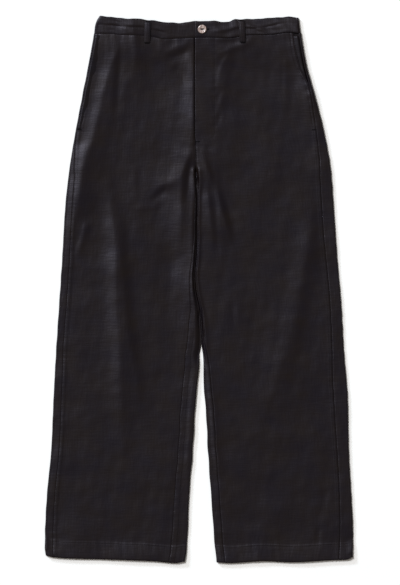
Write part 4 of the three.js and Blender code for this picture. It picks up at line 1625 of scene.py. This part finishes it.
@dataclass
class BeltLoops:
    """The five belt loops: two over the face of the band and three under its back."""

    form: Form
    bands: dict[Side, Waistband]
    width: float = 0.0115
    thickness: float = 0.0012
    slack: float = 0.0013
    clear: float = 0.00045
    round_end: float = 0.0035
    back_clear: float = 0.0003
    back_height: float = 0.00055
    back_thickness: float = 0.0010
    back_places: tuple[tuple[str, float], ...] = (
        ("belt_loop_back_right", -0.118),
        ("belt_loop_back_centre", -0.0077),
        ("belt_loop_back_left", 0.102),
    )

    def middle_x(self, place: LoopPlace, down: Array) -> Array:
        """Where the middle of a front loop lies at each level."""
        return place.x + (place.to_x - place.x) * (down - place.down) / (place.to_down - place.down)

    def half_width(self, place: LoopPlace, down: Array) -> Array:
        """Half the width of a front loop, whose lower corners are round."""
        near_end = ease(down, place.to_down - self.round_end, place.to_down)
        return self.width / 2 * (1 - 0.35 * near_end**2)

    def height(self, place: LoopPlace, x: Array, down: Array) -> Array:
        """Height of the middle of a front loop, over the band and the panel below it.

        Args:
            place: Where the loop lies.
            x: Places across.
            down: Places down.

        Returns:
            The height at each place.
        """
        form, band = self.form, self.bands[place.side]
        middle = self.middle_x(place, down)
        level = np.maximum(down, form.waist_line(middle) + 1 * MM)
        panel = form.face(place.side, middle, level) + form.cloth / 2
        t = (down - place.down) / (place.to_down - place.down)
        inboard = self.width / 2 - np.abs(x - middle)
        dents = LOOP_EDGE.at(inboard) + LOOP_ROW.at(inboard - 1.9 * MM)
        dents = dents + 0.4 * MM * bump(t, 0, 0.05) + 0.3 * MM * bump(t, 1, 0.05)
        under = np.maximum(band.height(middle, 0.5) + band.cloth / 2, panel)
        arch = self.slack * np.sin(math.pi * t)
        return under + self.clear + self.thickness / 2 + arch - dents

    def front(self, place: LoopPlace) -> bpy.types.Object:
        """Builds one front loop.

        Args:
            place: Where the loop lies.

        Returns:
            The loop's object.
        """
        strip = Strip(self.form, place.name, place.down, place.to_down, self.thickness, FACE_CLOTH, "cloth",
                      rows=44, columns=18)
        return strip.build(
            lambda down: self.middle_x(place, down) - self.half_width(place, down),
            lambda down: self.middle_x(place, down) + self.half_width(place, down),
            lambda x, down: self.height(place, x, down),
            (self.width, 0.046),
            [f"waistband_{place.side.label}_cloth"],
        )

    def back(self, name: str, x: float) -> bpy.types.Object:
        """Builds one back loop, flat on the surface.

        Args:
            name: Name of the loop.
            x: Where its middle lies.

        Returns:
            The loop's object.
        """
        form = self.form
        start = float(form.waist_top(x)) + self.back_clear
        end = float(form.waist_line(x)) + form.loop_reach - self.back_clear
        strip = Strip(form, name, start, end, self.back_thickness, FACE_CLOTH, "cloth", rows=16, columns=6)
        return strip.build(
            lambda down: x - self.width / 2 + 0 * down,
            lambda down: x + self.width / 2 + 0 * down,
            lambda across, down: self.back_height + 0 * across,
            (self.width, end - start),
            ["floor"],
        )

    def build(self) -> list[bpy.types.Object]:
        """Builds all five loops."""
        made = [self.front(place) for place in FRONT_LOOPS]
        return made + [self.back(name, x) for name, x in self.back_places]


def button_place() -> Array:
    """Middle of the button's underside, read from its solid."""
    low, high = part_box("button")
    return np.array([(low.x + high.x) / 2, (low.y + high.y) / 2, low.z])


@dataclass
class Button:
    """Pale button with a rolled rim and a long eye that holds its thread."""

    finish: ShellFinish
    radius: float = 0.0085
    thickness: float = 0.0030
    face_drop: float = 0.0005
    rim_rise: float = 0.00055
    rim_at: float = 0.8
    rim_width: float = 0.13
    roll: float = 0.0015
    under_roll: float = 0.0009
    dish: float = 0.00035
    eye_depth: float = 0.0010
    eye_length: float = 0.0052
    eye_width: float = 0.0017
    rings: int = 46
    spokes: int = 96

    def top(self, x: Array, y: Array) -> Array:
        """Height of the button's upper face over its underside."""
        share = np.hypot(x, y) / self.radius
        rim = self.rim_rise * bump(share, self.rim_at, self.rim_width)
        roll = self.roll * ease(share, 0.86, 1.02) ** 2
        eye = (x / self.eye_length) ** 2 + (y / self.eye_width) ** 2
        hollow = self.eye_depth * np.exp(-(eye**2))
        dish = self.dish * (1 - ease(share, 0.3, 0.75))
        return self.thickness - self.face_drop + rim - roll - hollow - dish

    def build(self) -> bpy.types.Object:
        """Builds and dresses the button where its solid lies.

        Returns:
            The button's object.
        """
        share = np.sin(np.linspace(0, math.pi / 2, self.rings + 1))[1:]
        angle = 2 * math.pi * np.arange(self.spokes) / self.spokes
        x = self.radius * share[:, None] * np.cos(angle)[None, :]
        y = self.radius * share[:, None] * np.sin(angle)[None, :]
        upper = np.stack((x, y, self.top(x, y)), axis=-1)
        under_z = self.under_roll * ease(share, 0.6, 1.0)[:, None] ** 2 + 0 * x
        lower = np.stack((x, y, under_z), axis=-1)
        rings = np.concatenate((upper, lower[::-1]))
        caps = np.array([[0, 0, float(self.top(np.array(0.0), np.array(0.0)))], [0, 0, 0]])
        points = np.concatenate((rings.reshape(-1, 3), caps)) + button_place()
        count = len(rings)
        index = np.arange(count * self.spokes).reshape(count, self.spokes)
        after = np.roll(index, -1, axis=1)
        sides = np.stack((index[:-1], index[1:], after[1:], after[:-1]), axis=-1).reshape(-1, 4)
        top, bottom = count * self.spokes, count * self.spokes + 1
        fans = [[top, int(a), int(b)] for a, b in zip(index[0], after[0])]
        fans += [[bottom, int(b), int(a)] for a, b in zip(index[-1], after[-1])]
        made = mesh_object("shell_button", points, sides.tolist() + fans, self.finish.material())
        return dress(made, "button", "button")


class StitchTree:
    """Geometry Nodes group that lays small rounded stitches evenly along the edges of a mesh."""

    NAME = "stitch_run"

    def __init__(self) -> None:
        """Builds the group with named inputs for its sizes."""
        self.group = bpy.data.node_groups.new(self.NAME, "GeometryNodeTree")
        face = self.group.interface
        face.new_socket("Geometry", in_out="INPUT", socket_type="NodeSocketGeometry")
        for name in ("Pitch", "Length", "Width", "Height", "Turn"):
            face.new_socket(name, in_out="INPUT", socket_type="NodeSocketFloat")
        face.new_socket("Thread", in_out="INPUT", socket_type="NodeSocketMaterial")
        face.new_socket("Geometry", in_out="OUTPUT", socket_type="NodeSocketGeometry")
        self._wire()

    def _wire(self) -> None:
        """Adds the nodes and links them."""
        nodes, links = self.group.nodes, self.group.links
        given = nodes.new("NodeGroupInput")
        result = nodes.new("NodeGroupOutput")
        to_curve = nodes.new("GeometryNodeMeshToCurve")
        spaced = nodes.new("GeometryNodeResampleCurve")
        spaced.mode = "LENGTH"
        tangent = nodes.new("GeometryNodeInputTangent")
        align = nodes.new("FunctionNodeAlignRotationToVector")
        align.axis = "X"
        align.pivot_axis = "Z"
        turn = nodes.new("FunctionNodeRotateRotation")
        turn.rotation_space = "LOCAL"
        turned = nodes.new("ShaderNodeCombineXYZ")
        to_rotation = nodes.new("FunctionNodeEulerToRotation")
        size = nodes.new("ShaderNodeCombineXYZ")
        stitch = nodes.new("GeometryNodeMeshUVSphere")
        stitch.inputs["Segments"].default_value = 6
        stitch.inputs["Rings"].default_value = 4
        stitch.inputs["Radius"].default_value = 0.5
        place = nodes.new("GeometryNodeInstanceOnPoints")
        realize = nodes.new("GeometryNodeRealizeInstances")
        thread = nodes.new("GeometryNodeSetMaterial")
        smooth = nodes.new("GeometryNodeSetShadeSmooth")
        for source, out, target, into in (
            (given, "Geometry", to_curve, "Mesh"),
            (to_curve, "Curve", spaced, "Curve"),
            (given, "Pitch", spaced, "Length"),
            (tangent, "Tangent", align, "Vector"),
            (given, "Turn", turned, "Z"),
            (turned, "Vector", to_rotation, "Euler"),
            (align, "Rotation", turn, "Rotation"),
            (to_rotation, "Rotation", turn, "Rotate By"),
            (given, "Length", size, "X"),
            (given, "Width", size, "Y"),
            (given, "Height", size, "Z"),
            (spaced, "Curve", place, "Points"),
            (stitch, "Mesh", place, "Instance"),
            (turn, "Rotation", place, "Rotation"),
            (size, "Vector", place, "Scale"),
            (place, "Instances", realize, "Geometry"),
            (realize, "Geometry", smooth, "Geometry"),
            (smooth, "Geometry", thread, "Geometry"),
            (given, "Thread", thread, "Material"),
            (thread, "Geometry", result, "Geometry"),
        ):
            links.new(source.outputs[out], target.inputs[into])

    def socket(self, name: str) -> str:
        """Identifier of a named input."""
        return next(item.identifier for item in self.group.interface.items_tree
                    if item.name == name and item.in_out == "INPUT")


@dataclass
class Stitching:
    """Rows of stitches that are laid along paths by one Geometry Nodes group."""

    tree: StitchTree
    finish: ThreadFinish
    pitch: float = 0.0031
    length: float = 0.0025
    width: float = 0.00055
    height: float = 0.00045

    def run(self, name: str, paths: list[Array], lay: Lay = Lay.ALONG, pitch: float | None = None,
            length: float | None = None) -> bpy.types.Object:
        """Lays stitches along each path and turns them into one plain mesh.

        Args:
            name: Name of the piece.
            paths: Point lists, one for each row of stitches.
            lay: Whether the stitches lie along or across their path.
            pitch: Distance from stitch to stitch, if not the usual one.
            length: Length of a stitch, if not the usual one.

        Returns:
            The stitches' object.
        """
        points = np.concatenate(paths)
        edges = []
        first = 0
        for path in paths:
            edges += [(first + i, first + i + 1) for i in range(len(path) - 1)]
            first += len(path)
        mesh = bpy.data.meshes.new(f"{name}_path")
        mesh.from_pydata(points.tolist(), edges, [])
        path_object = bpy.data.objects.new(f"{name}_path", mesh)
        bpy.context.scene.collection.objects.link(path_object)
        modifier = path_object.modifiers.new("stitches", "NODES")
        modifier.node_group = self.tree.group
        values = {
            "Pitch": pitch or self.pitch,
            "Length": length or self.length,
            "Width": self.width,
            "Height": self.height,
            "Turn": lay.value,
            "Thread": self.finish.material(),
        }
        for key, value in values.items():
            modifier[self.tree.socket(key)] = value
        graph = bpy.context.evaluated_depsgraph_get()
        plain = bpy.data.meshes.new_from_object(path_object.evaluated_get(graph), depsgraph=graph)
        plain.name = name
        path_object.modifiers.remove(modifier)
        bpy.data.objects.remove(path_object)
        made = bpy.data.objects.new(name, plain)
        bpy.context.scene.collection.objects.link(made)
        return dress(made, "cloth")


@dataclass
class Sewing:
    """Every row of stitches on the garment's face."""

    form: Form
    bands: dict[Side, Waistband]
    loops: BeltLoops
    stitching: Stitching
    step: float = 0.003
    rise: float = 0.00008
    loop_rise: float = 0.00005
    tack_rise: float = 0.00012
    inseam_start: float = 0.04
    band_reach: float = 0.192
    loop_row: float = 0.00385
    hole_at: float = 0.0016
    hole_length: float = 0.023
    hole_width: float = 0.0032
    eye_rise: float = 0.00205
    strand: float = 0.0052
    strand_rise: float = 0.00015
    strands: tuple[float, ...] = (-0.0009, -0.00045, 0.0, 0.00045, 0.0009)

    def on_face(self, side: Side, x: Array, down: Array) -> Array:
        """Points on the outside of the face cloth."""
        z = self.form.face(side, x, down) + self.form.cloth / 2 + self.rise
        return np.stack((x, self.form.y(down), z), axis=-1)

    def levels(self, start: float, end: float) -> Array:
        """Levels along a path, a small step apart."""
        return np.linspace(start, end, max(int((end - start) / self.step), 4))

    def side_rows(self, side: Side) -> list[Array]:
        """Two rows along a side seam.

        Args:
            side: The side.

        Returns:
            The points of each row.
        """
        form = self.form
        down = self.levels(form.pocket_end + 4 * MM, form.hem - 3 * MM)
        base = form.seam("side", side, down)
        rows = []
        for inboard in (form.near_row, form.fell_width - form.far_row):
            x = form.outer(side, down) - side.sign * (base + inboard)
            rows.append(self.on_face(side, x, form.settle(side, x, down)))
        return rows

    def inseam_rows(self, side: Side) -> list[Array]:
        """Two rows along an inseam, on the strip that faces the fold.

        Args:
            side: The side.

        Returns:
            The points of each row.
        """
        form = self.form
        rows = []
        down = self.levels(form.crotch + self.inseam_start, form.hem - 3 * MM)
        for outward in (form.near_row, form.inseam_fell - form.far_row):
            inboard = form.seam("inseam", side, down) - outward
            kept = inboard > 2.4 * MM
            x = form.inner(side, down) + side.sign * inboard
            rows.append(self.on_face(side, x[kept], form.settle(side, x[kept], down[kept])))
        return [row for row in rows if len(row) > 2]

    def hem_rows(self, side: Side) -> list[Array]:
        """One row along the top of a hem."""
        form = self.form
        above = form.hem_depth - form.hem_row
        outer = float(form.outer(side, form.hem - above)) - side.sign * 2.5 * MM
        inner = float(form.inner(side, form.hem - above)) + side.sign * 2.5 * MM
        x = np.linspace(outer, inner, 110)
        return [self.on_face(side, x, form.hem_line(x) - above)]

    def fly_rows(self) -> list[Array]:
        """The curved row of the fly and the row beside the middle seam below it."""
        form = self.form
        down = self.levels(form.waist_seam + 6 * MM, form.fly_end + 12.6 * MM)
        curved = self.on_face(Side.LEFT, form.fly_stitch_x(down), down)
        below = self.levels(form.fly_end + 14 * MM, form.crotch - 3 * MM)
        x = form.inner(Side.LEFT, below) + form.middle_row
        return [curved, self.on_face(Side.LEFT, x, below)]

    def pocket_rows(self, side: Side) -> list[Array]:
        """The row beside a pocket mouth."""
        form = self.form
        down = self.levels(form.waist_seam + 3 * MM, form.pocket_end - 5 * MM)
        mouth = form.seam("side", side, down) + form.seam("mouth", side, down)
        x = form.outer(side, down) - side.sign * (mouth + form.pocket_row)
        return [self.on_face(side, x, form.settle(side, x, down))]

    def band_rows(self, side: Side) -> list[Array]:
        """One row along each long edge of the face of a waistband.

        Args:
            side: The side.

        Returns:
            The points of each row.
        """
        form, band = self.form, self.bands[side]
        start = form.fly_x + side.sign * 1.2 * MM
        x = np.linspace(start, side.sign * self.band_reach, 90)
        low = band.stitch_row / band.tall
        rows = []
        for across in (low, 1 - low):
            z = band.top(x, across) + self.rise
            rows.append(np.stack((x, form.y(band.down_at(x, across, False)), z), axis=-1))
        return rows

    def loop_rows(self) -> list[Array]:
        """Two rows along each front loop.

        Returns:
            The points of each row.
        """
        rows = []
        for place in FRONT_LOOPS:
            down = np.linspace(place.down + 2.5 * MM, place.to_down - 3 * MM, 16)
            for off in (-self.loop_row, self.loop_row):
                x = self.loops.middle_x(place, down) + off
                z = self.loops.height(place, x, down) + self.loops.thickness / 2 + self.loop_rise
                rows.append(np.stack((x, self.form.y(down), z), axis=-1))
        return rows

    def bar_tacks(self) -> list[Array]:
        """Paths of the close stitches at the ends of the loops, pockets and fly.

        Returns:
            The points of each row.
        """
        form = self.form
        paths = []
        for place in FRONT_LOOPS:
            for down in (place.down + 1.6 * MM, place.to_down - 1.8 * MM):
                level = np.full(8, down)
                x = self.loops.middle_x(place, level) + np.linspace(-4.6, 4.6, 8) * MM
                z = self.loops.height(place, x, level) + self.loops.thickness / 2 + self.tack_rise
                paths.append(np.stack((x, form.y(level), z), axis=-1))
        for side in Side:
            level = np.full(8, form.pocket_end)
            mouth = form.seam("side", side, level)
            x = form.outer(side, level) - side.sign * (mouth + np.linspace(-0.5, 8.5, 8) * MM)
            paths.append(self.on_face(side, x, level))
        level = np.full(8, form.fly_end + 13 * MM)
        paths.append(self.on_face(Side.LEFT, form.fly_x + np.linspace(1, 9, 8) * MM, level))
        return paths

    def buttonhole(self) -> list[Array]:
        """Closed path round the buttonhole, which the button mostly hides."""
        centre = button_place()
        angle = np.linspace(0, 2 * math.pi, 49)
        x = centre[0] + self.hole_at + self.hole_length / 2 * np.cos(angle)
        y = centre[1] + self.hole_width / 2 * np.sin(angle)
        z = self.bands[Side.LEFT].top(x, 0.5) + 0.15 * MM
        return [np.stack((x, y, z), axis=-1)]

    def button_thread(self) -> list[Array]:
        """Short strands in the button's eye."""
        centre = button_place()
        t = np.linspace(-1, 1, 6)
        x = centre[0] + self.strand / 2 * t
        z = centre[2] + self.eye_rise + self.strand_rise * (1 - t**2)
        return [np.stack((x, centre[1] + off + 0 * t, z), axis=-1) for off in self.strands]

    def build(self) -> list[bpy.types.Object]:
        """Lays every row of stitches.

        Returns:
            The objects.
        """
        run = self.stitching.run
        made = []
        for side in Side:
            rows = {
                "side": self.side_rows(side),
                "inseam": self.inseam_rows(side),
                "hem": self.hem_rows(side),
                "pocket": self.pocket_rows(side),
                "band": self.band_rows(side),
            }
            made += [run(f"stitches_{name}_{side.label}", paths) for name, paths in rows.items()]
        made.append(run("stitches_fly", self.fly_rows()))
        made.append(run("stitches_loops", self.loop_rows(), pitch=2.6 * MM, length=2.1 * MM))
        made.append(run("bar_tacks", self.bar_tacks(), Lay.ACROSS, 0.55 * MM, 2.6 * MM))
        made.append(run("buttonhole_stitches", self.buttonhole(), Lay.ACROSS, 0.6 * MM, 2.2 * MM))
        made.append(run("button_thread", self.button_thread(), pitch=1.6 * MM, length=2.4 * MM))
        return made


@dataclass
class Studio:
    """Plain white floor, soft light from the upper left and a camera straight above."""

    pixel: float = 0.00195
    image: tuple[int, int] = (400, 585)
    middle_pixel: tuple[float, float] = (198.95, 289.5)
    camera_height: float = 12.0
    sensor: float = 24.0
    floor_reach: float = 6.0
    floor_drop: float = 0.00002
    floor_tones: tuple[Colour, Colour] = ((0.855, 0.822, 0.785), (0.87, 0.837, 0.80))
    world_colour: Colour = (1.0, 0.965, 0.91)
    world_strength: float = 0.31
    key_power: float = 9984.0
    key_size: float = 11.84
    key_place: Place = (-13.8, 13.0, 26.1)
    key_colour: Colour = (0.90, 0.945, 1.0)
    low_power: float = 7200.0
    low_size: float = 6.0
    low_place: Place = (-21.2, 20.4, 12.4)
    low_colour: Colour = (0.72, 0.86, 1.0)

    def floor(self) -> bpy.types.Object:
        """Large plain white floor with a trace of tone.

        Returns:
            The floor's object.
        """
        ends = np.array([(-1, -1), (1, -1), (1, 1), (-1, 1)], float) * self.floor_reach
        corners = np.column_stack((ends, np.full(4, -self.floor_drop)))
        material, tree, shader = new_material("white_floor")
        shader.inputs["Roughness"].default_value = 0.9
        shader.inputs["Specular IOR Level"].default_value = 0.1
        place = tree.nodes.new("ShaderNodeTexCoord")
        tone = tree.nodes.new("ShaderNodeTexNoise")
        tone.inputs["Scale"].default_value = 1.5
        tree.links.new(place.outputs["Object"], tone.inputs["Vector"])
        add_tones(tree, tone.outputs["Fac"], shader, self.floor_tones)
        made = mesh_object("floor", corners, [[0, 1, 2, 3]], material)
        made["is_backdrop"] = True
        return made

    def lights(self) -> None:
        """Even white surroundings, a large soft lamp at the upper left and a weak low one."""
        scene = bpy.context.scene
        world = bpy.data.worlds.new("soft_surroundings")
        world.use_nodes = True
        ground = world.node_tree.nodes["Background"]
        ground.inputs["Color"].default_value = (*self.world_colour, 1)
        ground.inputs["Strength"].default_value = self.world_strength
        scene.world = world
        self._lamp("key", self.key_power, self.key_size, self.key_place, self.key_colour)
        self._lamp("low", self.low_power, self.low_size, self.low_place, self.low_colour)

    def _lamp(self, name: str, power: float, size: float, at: Place, colour: Colour) -> None:
        """Makes one round soft lamp that faces the garment.

        Args:
            name: The lamp's name.
            power: Its power in watts.
            size: Its diameter.
            at: Where it hangs.
            colour: Its colour.
        """
        lamp = bpy.data.lights.new(name, "AREA")
        lamp.shape = "DISK"
        lamp.size = size
        lamp.energy = power
        lamp.color = colour
        made = bpy.data.objects.new(name, lamp)
        bpy.context.scene.collection.objects.link(made)
        place = np.array(at)
        made.location = place
        away = place / np.linalg.norm(place)
        made.rotation_euler = (math.acos(away[2]), 0, math.atan2(away[0], -away[1]))

    def camera(self) -> bpy.types.Object:
        """Long lens straight above, framed as the photograph is.

        Returns:
            The camera's object.
        """
        data = bpy.data.cameras.new("camera")
        data.sensor_fit = "VERTICAL"
        data.sensor_height = self.sensor
        tall = self.image[1] * self.pixel
        data.lens = self.sensor * self.camera_height / tall
        data.clip_end = 50
        made = bpy.data.objects.new("camera", data)
        x = (self.image[0] / 2 - self.middle_pixel[0]) * self.pixel
        y = (self.middle_pixel[1] - self.image[1] / 2) * self.pixel
        made.location = (x, y, self.camera_height)
        bpy.context.scene.collection.objects.link(made)
        bpy.context.scene.camera = made
        return made

    def build(self) -> None:
        """Sets up the floor, the lights, the camera and plain colour."""
        self.floor()
        self.lights()
        self.camera()
        view = bpy.context.scene.view_settings
        view.view_transform = "Standard"
        view.look = "None"


def keep_sizes() -> None:
    """Works out the box of the solids and the box of the dressed garment."""
    boxes = {"cad": cad_box, "visual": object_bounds()}
    plain = {name: [[float(v) for v in corner] for corner in box] for name, box in boxes.items()}


def main() -> None:
    """Builds the garment piece by piece, then the studio."""
    logging.basicConfig(level=logging.INFO, format="%(message)s")
    form = Form()
    Studio().build()
    made = [BackPanel(form, side).build() for side in Side]
    made += [FrontPanel(form, side).build() for side in Side]
    bands = {side: Waistband(form, side) for side in Side}
    made += [band.build() for band in bands.values()]
    made += InnerPieces(form).build()
    loops = BeltLoops(form, bands)
    made += loops.build()
    made.append(Button(ShellFinish()).build())
    made += Sewing(form, bands, loops, Stitching(StitchTree(), THREAD)).build()
    for piece in made:
        log.info("%s: %d faces", piece.name, len(piece.data.polygons))
    keep_sizes()


if __name__ == "__main__":
    main()
